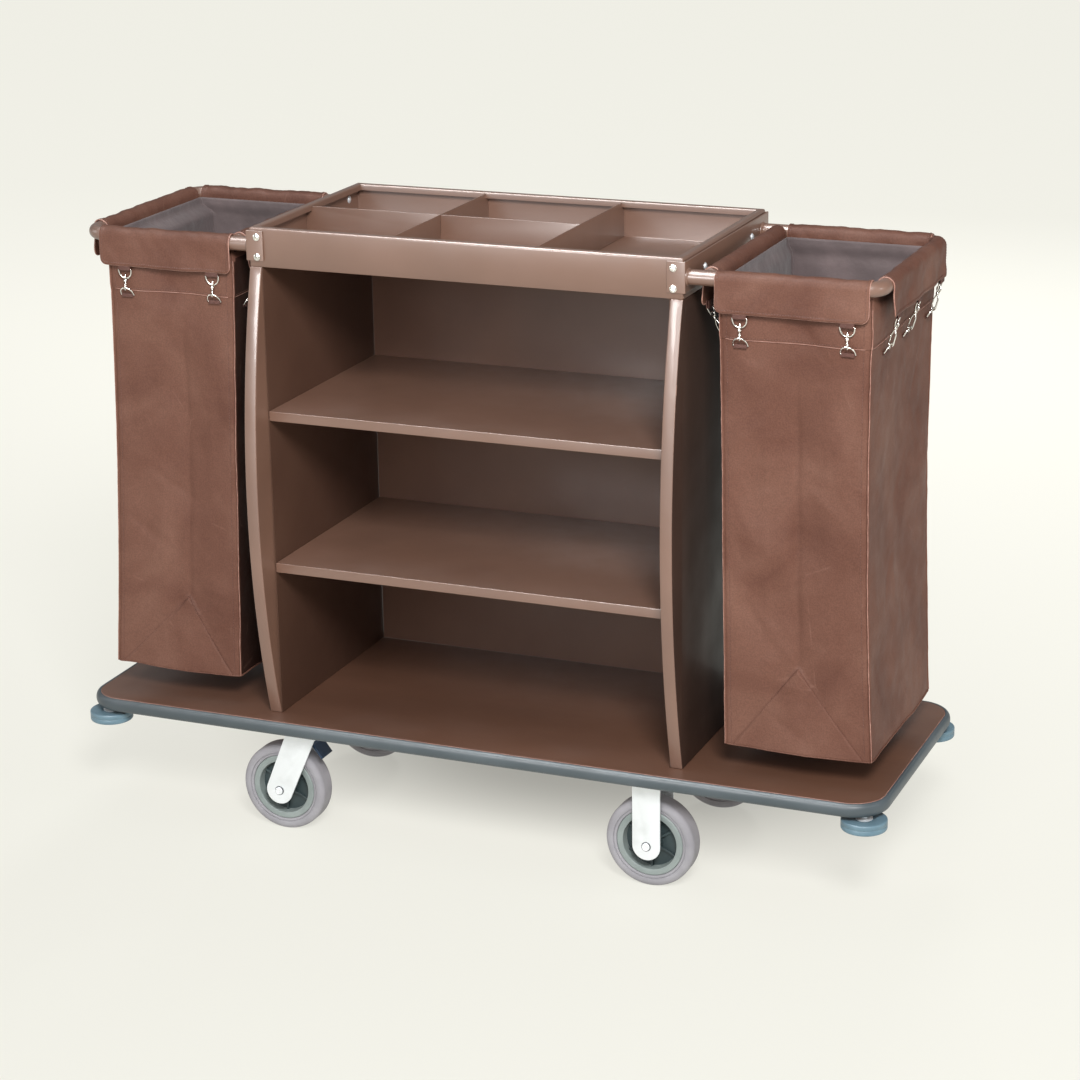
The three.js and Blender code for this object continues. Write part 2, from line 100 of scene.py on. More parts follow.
def rounded_bar(half_a, half_b, radius, steps=3):
    """Closed outline of a rectangle with rounded corners, counter-clockwise."""
    centres = [(half_a, half_b, 0), (-half_a, half_b, 1), (-half_a, -half_b, 2), (half_a, -half_b, 3)]
    outline = []
    for a, b, quarter in centres:
        ca = a - radius * (1 if a > 0 else -1)
        cb = b - radius * (1 if b > 0 else -1)
        for i in range(steps + 1):
            turn = (quarter + i / steps) * pi / 2
            outline.append((ca + radius * cos(turn), cb + radius * sin(turn)))
    return outline


def strip_faces(rows, columns, wrap_columns=True, wrap_rows=False):
    """Faces of a grid of points stored row by row."""
    faces = []
    for i in range(rows if wrap_rows else rows - 1):
        for j in range(columns if wrap_columns else columns - 1):
            a, b = i * columns + j, i * columns + (j + 1) % columns
            c, d = (i + 1) % rows * columns + (j + 1) % columns, (i + 1) % rows * columns + j
            faces.append([a, b, c, d])
    return faces


def sweep(path, section, start_up=Z, closed=False, scale=None):
    """The section carried along the path without twisting, capped unless the path is closed."""
    path = [Vector(p) for p in path]
    count = len(path)
    points = []
    side = None
    for i, p in enumerate(path):
        before = path[(i - 1) % count] if closed or i else p
        after = path[(i + 1) % count] if closed or i < count - 1 else p
        ahead = (after - before).normalized()
        side = start_up.cross(ahead) if side is None else side
        side = (side - ahead * side.dot(ahead)).normalized()
        up = ahead.cross(side)
        grow = scale[i] if scale else 1
        points += [p + side * a * grow + up * b * grow for a, b in section]
    size = len(section)
    faces = strip_faces(count, size, wrap_rows=closed)
    if not closed:
        faces += [list(range(size))[::-1], list(range((count - 1) * size, count * size))]
    return points, faces


def lathe(profile, sides):
    """Closed profile of (radius, height) points turned about Z; it may start and end on the axis."""
    solid = profile[0][0] == 0
    inner = profile[1:-1] if solid else profile
    rows = [[(r * cos(2 * pi * j / sides), r * sin(2 * pi * j / sides), h) for j in range(sides)]
            for r, h in inner]
    points = [p for row in rows for p in row]
    faces = strip_faces(len(rows), sides, wrap_rows=not solid)
    if solid:
        for tip, row in ((profile[0], 0), (profile[-1], len(rows) - 1)):
            points.append((0, 0, tip[1]))
            start = row * sides
            fan = [[len(points) - 1, start + (j + 1) % sides, start + j] for j in range(sides)]
            faces += fan if row == 0 else [face[::-1] for face in fan]
    return points, faces


def turned(profile, sides):
    """lathe for a profile in millimetres."""
    return lathe(in_mm(profile), sides)


def slab(low, high):
    """Box between two corners."""
    points = [(x, y, z) for z in (low[2], high[2]) for y in (low[1], high[1]) for x in (low[0], high[0])]
    faces = [[0, 2, 3, 1], [4, 5, 7, 6], [0, 1, 5, 4], [2, 6, 7, 3], [0, 4, 6, 2], [1, 3, 7, 5]]
    return points, faces


def bent_path(corners, radius, steps=10):
    """Points along a polyline whose inner corners are arcs."""
    corners = [Vector(c) for c in corners]
    path = [corners[0]]
    for before, corner, after in zip(corners, corners[1:], corners[2:]):
        into, out = (corner - before).normalized(), (after - corner).normalized()
        reach = radius * sqrt((1 - into.dot(out)) / (1 + into.dot(out)))
        start = corner - into * reach
        centre = start + (out - into * into.dot(out)).normalized() * radius
        angle = into.angle(out)
        spoke = start - centre
        for i in range(steps + 1):
            turn = angle * i / steps
            path.append(centre + spoke * cos(turn) + into * radius * sin(turn))
    path.append(corners[-1])
    return path


def hexagon(across):
    """Outline of a hexagon, from its width across the flats."""
    return [(across / sqrt(3) * cos(i * pi / 3), across / sqrt(3) * sin(i * pi / 3)) for i in range(6)]


def prism(outline, low, high):
    """Outline in X and Y, from low to high along Z."""
    size = len(outline)
    points = [(a, b, z) for z in (low, high) for a, b in outline]
    return points, strip_faces(2, size) + [list(range(size))[::-1], list(range(size, 2 * size))]


# ------------------------------------------------------------------ pieces
def new_mesh(name, shape):
    mesh = bpy.data.meshes.new(name)
    mesh.from_pydata([tuple(p) for p in shape[0]], [], shape[1])
    return mesh


def make(name, shape, material, body="cart", replaces=(), bevel=0.0, sharp=40):
    return dress(name, new_mesh(name, shape), material, body, replaces, bevel, 2, sharp)


def place_object(name, data):
    """A new object in the scene."""
    item = bpy.data.objects.new(name, data)
    bpy.context.scene.collection.objects.link(item)
    return item


def dress(name, mesh, material, body, replaces, bevel, segments, sharp=40):
    """Turns a mesh into a declared piece with its material, rounded edges and shading."""
    tidy = bmesh.new()
    tidy.from_mesh(mesh)
    bmesh.ops.recalc_face_normals(tidy, faces=tidy.faces)
    tidy.to_mesh(mesh)
    tidy.free()
    mesh.materials.clear()
    mesh.materials.append(material)
    mesh.shade_smooth()
    piece = place_object(name, mesh)
    if bevel:
        rounding = piece.modifiers.new("rounding", "BEVEL")
        rounding.width = bevel
        rounding.segments = segments
        rounding.limit_method = "ANGLE"
        rounding.angle_limit = radians(30)
        rounding.harden_normals = True
    else:
        mesh.set_sharp_from_angle(angle=radians(sharp))
    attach(piece, body)
    if replaces:
        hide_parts(*replaces)
    return piece


def rounded_copy(node, material, bevel, body="cart"):
    """The CAD node's own shape with its coplanar faces merged and its edges rounded."""
    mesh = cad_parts[node].data.copy()
    work = bmesh.new()
    work.from_mesh(mesh)
    bmesh.ops.remove_doubles(work, verts=work.verts, dist=1e-6)
    bmesh.ops.dissolve_limit(work, angle_limit=radians(0.5), verts=work.verts, edges=work.edges)
    work.to_mesh(mesh)
    work.free()
    return dress(f"{node}_finished", mesh, material, body, (node,), bevel, 3)


def recolour(piece, material, chosen):
    """A second material for the faces that pass a test."""
    piece.data.materials.append(material)
    for face in piece.data.polygons:
        if chosen(face):
            face.material_index = 1


# ------------------------------------------------------------------ materials
def colour(red, green, blue):
    """Linear colour from an sRGB one given in 0 to 255."""
    parts = [c / 255 for c in (red, green, blue)]
    return [c / 12.92 if c <= 0.04045 else ((c + 0.055) / 1.055) ** 2.4 for c in parts] + [1]


def grey(value):
    return (value, value, value, 1)


class Finish:
    """A node material under construction, with its Principled shader."""

    def __init__(self, name, roughness, metallic=0.0, **shader):
        self.material = bpy.data.materials.new(name)
        self.material.use_nodes = True
        self.nodes = self.material.node_tree.nodes
        self.links = self.material.node_tree.links
        self.shader = self.nodes["Principled BSDF"]
        self.set("Roughness", roughness)
        self.set("Metallic", metallic)
        for socket, value in shader.items():
            self.set(socket.replace("_", " "), value)
        self.place = self.nodes.new("ShaderNodeTexCoord").outputs["Object"]

    def set(self, socket, value):
        self.shader.inputs[socket].default_value = value

    def node(self, kind, inputs, **settings):
        """A new node. Each input is a socket to link from or a value to set."""
        node = self.nodes.new(f"ShaderNode{kind}")
        for setting, value in settings.items():
            setattr(node, setting, value)
        for socket, value in inputs.items():
            if isinstance(value, bpy.types.NodeSocket):
                self.links.new(value, node.inputs[socket])
            else:
                node.inputs[socket].default_value = value
        return node

    def stretched(self, scale, shift=(0, 0, 0)):
        inputs = {"Vector": self.place, "Location": shift, "Scale": scale}
        return self.node("Mapping", inputs).outputs["Vector"]

    def noise(self, scale, detail, kind="FBM", stretch=(1, 1, 1), distortion=0.0):
        inputs = {"Scale": scale, "Detail": detail, "Distortion": distortion}
        inputs["Vector"] = self.stretched(stretch)
        return self.node("TexNoise", inputs, noise_type=kind).outputs["Fac"]

    def ridges(self, scale, detail, stretch=(1, 1, 1), distortion=0.0):
        return self.noise(scale, detail, "RIDGED_MULTIFRACTAL", stretch, distortion)

    def cells(self, scale, stretch=(1, 1, 1), feature="F1"):
        inputs = {"Vector": self.stretched(stretch), "Scale": scale}
        return self.node("TexVoronoi", inputs, feature=feature).outputs["Distance"]

    def waves(self, scale, direction, distortion=0.0):
        inputs = {"Vector": self.place, "Scale": scale, "Distortion": distortion}
        return self.node("TexWave", inputs, bands_direction=direction).outputs["Fac"]

    def ramp(self, source, *stops):
        """Colours along a source. A stop is (position, colour), or (position, grey value)."""
        node = self.node("ValToRGB", {"Fac": source})
        band = node.color_ramp
        while len(band.elements) < len(stops):
            band.elements.new(0.5)
        for element, (position, shade) in zip(band.elements, stops):
            element.position = position
            element.color = shade if isinstance(shade, list) else grey(shade)
        return node.outputs["Color"]

    def tinted(self, source, dark, middle, light):
        return self.ramp(source, (0.3, colour(*dark)), (0.5, colour(*middle)), (0.72, colour(*light)))

    def mix(self, kind, amount, first, second):
        inputs = {0: amount, 6: first, 7: second}
        settings = {"data_type": "RGBA", "blend_type": kind, "clamp_result": True}
        return self.node("Mix", inputs, **settings).outputs[2]

    def paint(self, source):
        self.links.new(source, self.shader.inputs["Base Color"])

    def between(self, source, low, high, start=0.0, end=1.0):
        """Turns the range start to end of a source into low to high."""
        inputs = {"Value": source, "From Min": start, "From Max": end, "To Min": low, "To Max": high}
        return self.node("MapRange", inputs, interpolation_type="SMOOTHSTEP").outputs["Result"]

    def vary_roughness(self, source, low, high):
        self.links.new(self.between(source, low, high), self.shader.inputs["Roughness"])

    def bump(self, *layers):
        """Each layer is (source, depth in metres)."""
        below = {}
        for source, depth in layers:
            node = self.node("Bump", {"Strength": 1.0, "Distance": depth, "Height": source, **below})
            below = {"Normal": node.outputs["Normal"]}
        self.links.new(below["Normal"], self.shader.inputs["Normal"])


def powder_coat(name, gloss, *shades):
    finish = Finish(name, 0.36, Specular_IOR_Level=gloss, Coat_Weight=0.4 * gloss, Coat_Roughness=0.12)
    base = finish.tinted(finish.noise(5, 4), *shades)
    specks = finish.ramp(finish.cells(55), (0.0, 0.5), (0.03, 0.0))
    finish.paint(finish.mix("MIX", specks, base, colour(170, 145, 128)))
    finish.vary_roughness(finish.noise(14, 4), 0.34, 0.5)
    finish.bump((finish.noise(900, 2), 0.00003), (finish.noise(8, 2), 0.0003))
    return finish.material


def lacquered_board():
    finish = Finish("brown_lacquered_board", 0.35, Specular_IOR_Level=0.5, Coat_Weight=0.15,
                    Coat_Roughness=0.25)
    grain = finish.noise(4, 5, stretch=(0.4, 1.5, 1.5))
    tint = finish.tinted(grain, (90, 62, 48), (98, 68, 53), (107, 75, 59))
    scuffs = finish.ramp(finish.ridges(26, 6, (0.3, 2.2, 1)), (0.78, 0.0), (1.0, 0.35))
    finish.paint(finish.mix("MIX", scuffs, tint, colour(140, 108, 92)))
    finish.vary_roughness(finish.noise(9, 5), 0.3, 0.5)
    finish.bump((finish.noise(700, 2), 0.00002), (finish.noise(30, 3), 0.0001))
    return finish.material


def coated_fabric(name, *shades):
    """Cloth with a fine weave, broad patches and a few pale crease lines, part wear and part painted
    highlight.
    """
    finish = Finish(name, 0.6, Specular_IOR_Level=0.1)
    broad = finish.tinted(finish.noise(7, 6, distortion=0.6), *shades)
    lines = finish.ramp(finish.cells(9, (1, 1, 0.55), "DISTANCE_TO_EDGE"), (0.0, 0.15), (0.012, 0.0))
    patches = finish.ramp(finish.noise(16, 4), (0.56, 0.0), (0.68, 1.0))
    creases = finish.mix("MULTIPLY", 1.0, lines, patches)
    # Pale crease lines mixed into the tint: part wear, part painted highlight.
    creases_worn_and_highlit = finish.mix("MIX", creases, broad, colour(176, 136, 120))
    weave = finish.noise(430, 1)
    finish.paint(finish.mix("MULTIPLY", 1.0, creases_worn_and_highlit, finish.ramp(weave, (0.35, 0.84), (0.65, 1.0))))
    finish.vary_roughness(finish.noise(30, 4), 0.46, 0.66)
    finish.bump((weave, 0.00025), (finish.noise(60, 5), 0.0008), (creases, 0.0006),
                (finish.ridges(24, 6, distortion=0.4), 0.0009))
    return finish.material


def lining_cloth():
    finish = Finish("grey_lining", 0.75, Specular_IOR_Level=0.25, Sheen_Weight=0.2)
    broad = finish.noise(12, 6, distortion=0.4)
    tint = finish.tinted(broad, (88, 76, 76), (100, 87, 87), (115, 100, 100))
    weave = finish.mix("MULTIPLY", 1.0, finish.waves(300, "X"), finish.waves(300, "Z"))
    finish.paint(finish.mix("MULTIPLY", 0.12, tint, weave))
    finish.bump((weave, 0.0001), (finish.noise(45, 5), 0.002),
                (finish.ridges(13, 5, distortion=0.4), 0.004))
    return finish.material


def webbing_cloth():
    finish = Finish("brown_webbing", 0.7, Specular_IOR_Level=0.25)
    ribs = finish.waves(260, "Z", 1.0)
    finish.paint(finish.ramp(ribs, (0.2, colour(78, 50, 44)), (0.8, colour(104, 70, 61))))
    finish.bump((ribs, 0.0003), (finish.noise(300, 3), 0.0002))
    return finish.material


def thread():
    finish = Finish("stitching_thread", 0.6)
    finish.paint(finish.tinted(finish.noise(400, 2), (84, 52, 43), (98, 63, 52), (114, 76, 63)))
    finish.bump((finish.waves(1500, "DIAGONAL"), 0.0001))
    return finish.material


# Pale edge colour for seam crests, flap edges and the deck's edge: part wear, part painted highlight where
# the edges catch the light.
def pale_edge_wear_and_highlight():
    finish = Finish("worn_fabric_edge", 0.6)
    finish.paint(finish.tinted(finish.noise(90, 4), (134, 92, 79), (152, 110, 96), (174, 134, 119)))
    finish.bump((finish.noise(500, 3), 0.0002))
    return finish.material


def soft_vinyl():
    finish = Finish("grey_vinyl_strip", 0.42, Specular_IOR_Level=0.5)
    tint = finish.tinted(finish.noise(6, 5), (60, 68, 72), (69, 78, 83), (79, 88, 93))
    marks = finish.ramp(finish.ridges(60, 5), (0.85, 0.0), (1.0, 0.4))
    finish.paint(finish.mix("MIX", marks, tint, colour(150, 152, 148)))
    finish.vary_roughness(finish.noise(20, 4), 0.36, 0.52)
    finish.bump((finish.noise(35, 3), 0.0002))
    return finish.material


def plated(name, tint, roughness, metallic, dullest):
    finish = Finish(name, roughness, metallic)
    dark = [int(dullest * c) for c in tint]
    finish.paint(finish.tinted(finish.noise(22, 5), dark, tint, tint))
    finish.vary_roughness(finish.noise(70, 4), roughness * 0.8, roughness * 1.3)
    finish.bump((finish.noise(260, 3), 0.00003))
    return finish.material


def moulded(name, dark, light, roughness):
    """Plastic or rubber with a fine moulded grain."""
    finish = Finish(name, roughness, Specular_IOR_Level=0.45)
    middle = [(a + b) // 2 for a, b in zip(dark, light)]
    finish.paint(finish.tinted(finish.noise(28, 5), dark, middle, light))
    finish.vary_roughness(finish.noise(60, 4), roughness * 0.85, roughness * 1.2)
    finish.bump((finish.noise(650, 2), 0.00006), (finish.noise(40, 3), 0.00018))
    return finish.material


PAINT = powder_coat("brown_powder_coat", 0.8, (108, 79, 65), (113, 83, 68), (119, 88, 73))
MATT_SHADED_COAT = powder_coat("matt_brown_powder_coat", 0.3, (100, 73, 61), (106, 78, 65), (112, 83, 69))
SHADED_SKIN_COAT = powder_coat("skin_brown_powder_coat", 0.25, (76, 53, 42), (81, 57, 46), (87, 62, 50))
PAINTED_SHADE_COAT = powder_coat("outer_brown_powder_coat", 0.1, (60, 44, 37), (65, 48, 41), (71, 53, 45))
BOARD = lacquered_board()
FABRIC = coated_fabric("brown_coated_fabric", (96, 63, 52), (107, 73, 61), (119, 85, 72))
PAINTED_SHADE_FABRIC = coated_fabric("inner_coated_fabric", (48, 30, 25), (54, 35, 29), (60, 41, 34))
LINING = lining_cloth()
WEBBING = webbing_cloth()
THREAD = thread()
EDGE_WEAR_AND_HIGHLIGHT = pale_edge_wear_and_highlight()
VINYL = soft_vinyl()
ZINC = plated("bright_zinc", (236, 240, 243), 0.34, 0.55, 0.95)
NICKEL = plated("nickel_plate", (236, 233, 226), 0.2, 1.0, 0.86)
TREAD = moulded("grey_tread_rubber", (136, 134, 139), (152, 150, 155), 0.75)
RIM = moulded("grey_wheel_plastic", (122, 132, 130), (138, 147, 145), 0.5)
RECESS_SHADE_PLASTIC = moulded("dark_wheel_plastic", (42, 54, 56), (56, 69, 70), 0.5)
ROLLER = moulded("blue_grey_roller", (88, 114, 128), (104, 130, 143), 0.4)
PEDAL = moulded("dark_blue_plastic", (18, 42, 66), (28, 56, 84), 0.45)
DARK = moulded("dark_grease_grey", (42, 44, 46), (62, 64, 66), 0.6)


# ------------------------------------------------------------------ deck and cabinet
def ring_points(low, high, inset, corner, steps=8):
    """Rounded rectangle in plan, inset from the box low to high."""
    half_x, half_y = (high[0] - low[0]) / 2 - inset, (high[1] - low[1]) / 2 - inset
    middle_x, middle_y = (high[0] + low[0]) / 2, (high[1] + low[1]) / 2
    radius = max(corner - inset, 0.0002)
    return [(middle_x + a, middle_y + b) for a, b in rounded_bar(half_x, half_y, radius, steps)]


def ring_loft(low, high, profile, corner, steps=8, closed=True):
    """Profile of (inset, height) points carried round a rounded rectangle."""
    rings = [[(a, b, z) for a, b in ring_points(low, high, inset, corner, steps)]
             for inset, z in profile]
    size = len(rings[0])
    faces = strip_faces(len(rings), size, wrap_rows=closed)
    if not closed:
        last = (len(rings) - 1) * size
        faces += [list(range(size))[::-1], list(range(last, last + size))]
    return [p for ring in rings for p in ring], faces


def deck():
    """Laminated board whose rounded top edge is coloured pale as a painted highlight, and the strip round
    it.
    """
    low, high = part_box("deck_board")
    corner = 56 * MM
    rounding = 1.2 * MM
    arc = quarter_turn(4)
    bottom = [(rounding * (1 - sin(a)), low[2] + rounding * (1 - cos(a))) for a in arc]
    top = [(rounding * (1 - cos(a)), high[2] - rounding * (1 - sin(a))) for a in arc]
    board = ring_loft(low, high, bottom + top, corner, 16, closed=False)
    laminated = make("deck_board_laminated", board, BOARD, replaces=("deck_board",))
    # The deck's rounded top edge is coloured pale: a painted highlight.
    recolour(laminated, EDGE_WEAR_AND_HIGHLIGHT, lambda face: 0.1 < face.normal.z < 0.97)
    bumper_strip(corner)


def bumper_strip(corner):
    """Vinyl strip with a bulging outside, and the joint between its two ends."""
    low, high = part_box("bumper_strip")
    deck_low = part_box("deck_board")[0]
    depth = deck_low[0] - low[0] - 0.3 * MM
    bottom, top = low[2], high[2]
    middle, half = (bottom + top) / 2, (top - bottom) / 2
    arc = [radians(-90 + 15 * i) for i in range(13)]
    bulge = [(depth * 0.92 * (1 - cos(a) ** 0.8), middle + half * sin(a)) for a in arc[1:-1]]
    flat = depth * 0.62
    lip = 1.2 * MM
    profile = [(depth, bottom), (flat, bottom), *bulge, (flat, top), (depth, top)]
    profile += [(depth, middle + lip), (depth, middle - lip)]
    strip = ring_loft(low, high, profile, corner + depth, 16)
    make("bumper_strip_vinyl", strip, VINYL, replaces=("bumper_strip",), sharp=60)
    proud = 0.1 * MM
    joint = slab((-0.6 * MM, high[1] - depth, bottom - proud), (0.6 * MM, high[1] + proud, top + proud))
    make("bumper_strip_joint", joint, DARK, bevel=0.3 * MM)


def cabinet():
    for name, side in SIDES.items():
        panel = rounded_copy(f"side_panel_{name}", PAINT, 1.8 * MM)
        # The outer face of each side panel gets a dark, dull coat: painted shade of the narrow gap beside
        # the bag.
        recolour(panel, PAINTED_SHADE_COAT, lambda face: face.normal.x * side > 0.99)
        # The inner skins get a darker copy of the coat: painted shade inside the bays.
        rounded_copy(f"side_skin_{name}", SHADED_SKIN_COAT, 0.3 * MM)
    # The back panel's coat is matt and a little darker than the main coat; the darker tone is painted shade
    # at the back of the bays.
    rounded_copy("back_panel", MATT_SHADED_COAT, 0.3 * MM)
    for level in ("upper", "lower"):
        rounded_copy(f"{level}_shelf", PAINT, 1.4 * MM)
    back_rivets()
    for divider in ("long_divider", "cross_divider_left", "cross_divider_right"):
        rounded_copy(divider, PAINT, 0.5 * MM)


def back_rivets():
    """Painted rivets that hold the back sheet to the sides."""
    low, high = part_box("back_panel")
    rivets, from_end, from_side = 4, 60 * MM, 12 * MM
    pitch = (high[2] - low[2] - 2 * from_end) / (rivets - 1)
    for name, side in SIDES.items():
        for index in range(rivets):
            spot = (side * (high[0] - from_side), high[1], low[2] + from_end + index * pitch)
            bolt_head(f"back_rivet_{name}_{index + 1}", spot, Y, 3.4 * MM, 1.8 * MM, PAINT)


def tray():
    """Open box of 2 mm sheet with a rim turned inward and then down."""
    low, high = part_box("tray")
    bottom, top = low[2], high[2]
    wall, rim, drop = 2 * MM, 14 * MM, 11 * MM
    outer_bend, inner_bend = 4.5 * MM, 3 * MM
    arc = quarter_turn(6)
    outside = [(0.8 * MM, bottom), (0, bottom + 0.8 * MM)]
    outside += [(outer_bend * (1 - cos(a)), top - outer_bend * (1 - sin(a))) for a in arc]
    outside += [(rim - inner_bend * (1 - sin(a)), top - inner_bend * (1 - cos(a))) for a in arc]
    lip = [(rim, top - drop), (rim - wall, top - drop)]
    bend = inner_bend - wall
    under = [(rim - wall - bend * (1 - cos(a)), top - wall - bend * (1 - sin(a))) for a in arc]
    bend = outer_bend - wall
    under += [(wall + bend * (1 - sin(a)), top - wall - bend * (1 - cos(a))) for a in arc]
    floor = [(wall + a * MM, bottom + wall + b * MM) for a, b in ((0, 1), (0.3, 0.3), (1, 0))]
    shape = ring_loft(low, high, outside + lip + under + floor, 3 * MM, 4, closed=False)
    make("tray_folded", shape, PAINT, replaces=("tray",), sharp=50)
    for name, side in SIDES.items():
        for end, toward in ENDS.items():
            y = (low[1] if toward < 0 else high[1]) - toward * 40 * MM
            x = side * (high[0] - wall)
            spot = (x, y, top - 24 * MM)
            bolt_head(f"tray_bolt_{name}_{end}", spot, X * -side, 5.5 * MM, 3 * MM)


# ------------------------------------------------------------------ fasteners
def facing(origin, outward):
    """Frame at origin whose Z is outward."""
    side = (Z if abs(outward.z) < 0.9 else X).cross(outward).normalized()
    return basis(Vector(origin), side, outward.cross(side), outward)


def dome(radius, height, steps=6):
    """Domed head on a short straight edge."""
    rise = [(radius * cos(a), height * (0.2 + 0.8 * sin(a))) for a in quarter_turn(steps)[:-1]]
    return lathe([(0, 0), (radius, 0), *rise, (0, height)], 32)


def bolt_head(name, origin, outward, radius, height, material=ZINC):
    """Domed head on a washer."""
    low, high, edge = -0.1 * MM, 0.5 * MM, radius * 1.25
    washer = lathe([(0, low), (edge, low), (edge, high), (0, high)], 32)
    head = joined([dome(radius, height), washer])
    make(name, moved(head, facing(origin, outward)), material)


def pan_screw(name, origin, outward):
    """Pan-head screw with a cross recess."""
    radius, height = 6.5 * MM, 3.0 * MM
    reach, slot, depth = 3.3 * MM, 0.75 * MM, 1.8 * MM
    place = facing(origin, outward)
    piece = make(name, moved(dome(radius, height, 8), place), NICKEL)
    for half_x, half_y in ((reach, slot), (slot, reach)):
        arm = slab((-half_x, -half_y, height - depth), (half_x, half_y, height + 1 * MM))
        cut_away(piece, moved(arm, place))


def cut_away(piece, shape):
    """Subtracts the shape from the piece and applies the result."""
    tool = place_object("tool", new_mesh("tool", shape))
    cut = piece.modifiers.new("cut", "BOOLEAN")
    cut.object = tool
    cut.operation = "DIFFERENCE"
    cut.solver = "EXACT"
    graph = bpy.context.evaluated_depsgraph_get()
    result = bpy.data.meshes.new_from_object(piece.evaluated_get(graph))
    piece.modifiers.remove(cut)
    piece.data = result
    bpy.data.objects.remove(tool)


# ------------------------------------------------------------------ bag carriers
TUBE = 12.5 * MM
BEND = 30 * MM


def bag_carriers():
    for name, side in SIDES.items():
        low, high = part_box(f"bag_bracket_{name}")
        plate = high[0] if side > 0 else low[0]
        bracket(name, side, plate)
        frame_tube(name, side, plate)
        cross_bar(name)


def bracket(name, side, plate):
    """Channel with its screws into the tray's ends and its bolts through the plate."""
    rounded_copy(f"bag_bracket_{name}", PAINT, 1.1 * MM)
    low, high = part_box(f"bag_bracket_{name}")
    for end, toward in ENDS.items():
        y = low[1] if toward < 0 else high[1]
        for level, z in (("upper", high[2] - 11 * MM), ("lower", low[2] + 7 * MM)):
            spot = (plate - side * 20.3 * MM, y, z)
            pan_screw(f"bracket_screw_{name}_{end}_{level}", spot, Y * toward)
    for place, y in (("front", -110 * MM), ("rear", 130 * MM)):
        bolt_head(f"bracket_bolt_{name}_{place}", (plate, y, 1068 * MM), X * side, 5 * MM, 3.5 * MM)


def cross_bar(name):
    low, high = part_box(f"cross_bar_{name}")
    middle = centre_of(f"cross_bar_{name}")
    path = [(middle.x, low[1] + t * (high[1] - low[1]), middle.z) for t in (0, 0.5, 1)]
    bar = sweep(path, circle(TUBE, 40))
    make(f"cross_bar_{name}_tube", bar, PAINT, replaces=(f"cross_bar_{name}",), bevel=0.4 * MM)


def frame_tube(name, side, plate):
    """Bent tube that carries the bag, with a weld bead at each root."""
    low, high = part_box(f"bag_frame_{name}")
    radius = (high[2] - low[2]) / 2
    z = (high[2] + low[2]) / 2
    half_span = high[1] - radius
    root = plate + side * 0.1 * MM
    reach = (high[0] if side > 0 else low[0]) - side * radius
    corners = [(root, -half_span, z), (reach, -half_span, z), (reach, half_span, z), (root, half_span, z)]
    tube = sweep(bent_path(corners, BEND, 14), circle(radius, 40))
    make(f"bag_frame_{name}_tube", tube, PAINT, replaces=(f"bag_frame_{name}",))
    bead = [(2.2, 0), (1.8, 1.2), (0.4, 2.6), (-0.5, 2.8), (-0.5, 0)]
    bead = [(radius + r, h) for r, h in in_mm(bead)]
    for end, toward in ENDS.items():
        ring = moved(lathe(bead, 48), facing((plate, toward * half_span, z), X * side))
        make(f"weld_bead_{name}_{end}", ring, PAINT, sharp=70)


# ------------------------------------------------------------------ laundry bags
TUBE_Z = 1067 * MM
HALF_SPAN = 190 * MM
REACH = 705 * MM
BAG_BOTTOM = 278 * MM
BAND_SEAM = 971 * MM
NECK = 1044 * MM
MOUTH = 1059 * MM
BAG_CLOTH = 1.2 * MM
LINING_INSET = 3.6 * MM
LINING_CLOTH = 0.7 * MM
# What the neck of each bag narrows to under the flaps: inner and outer X, and half its depth in Y.
NECK_INNER, NECK_OUTER, NECK_HALF = 438.5 * MM, 690.5 * MM, 175.8 * MM
# Where the noise of each side starts, so that no two sides are creased alike.
FACE_SEEDS = {"front": 0, "outer": 5, "rear": 9, "inner": 14}
# How each bag hangs: its inner and outer X at the bottom and under the flaps, its rear Y there,
# the X of the front crease and the height where that crease parts into the folded bottom.
HANG = {
    "left": dict(bottom=(453, 703), top=(428, 668), back=(172, 182), crease=556, apex=418, seed=3.1),
    "right": dict(bottom=(458, 710), top=(445, 695), back=(170, 182), crease=586, apex=426, seed=11.7),
}


def clamped(value):
    return min(max(value, 0), 1)


def smooth_step(low, high, value):
    t = clamped((value - low) / (high - low))
    return t * t * (3 - 2 * t)


def lerp(pair, t):
    return pair[0] + (pair[1] - pair[0]) * t


def evenly(start, end, steps):
    """Values from start to end, both included."""
    return [start + (end - start) * i / steps for i in range(steps + 1)]


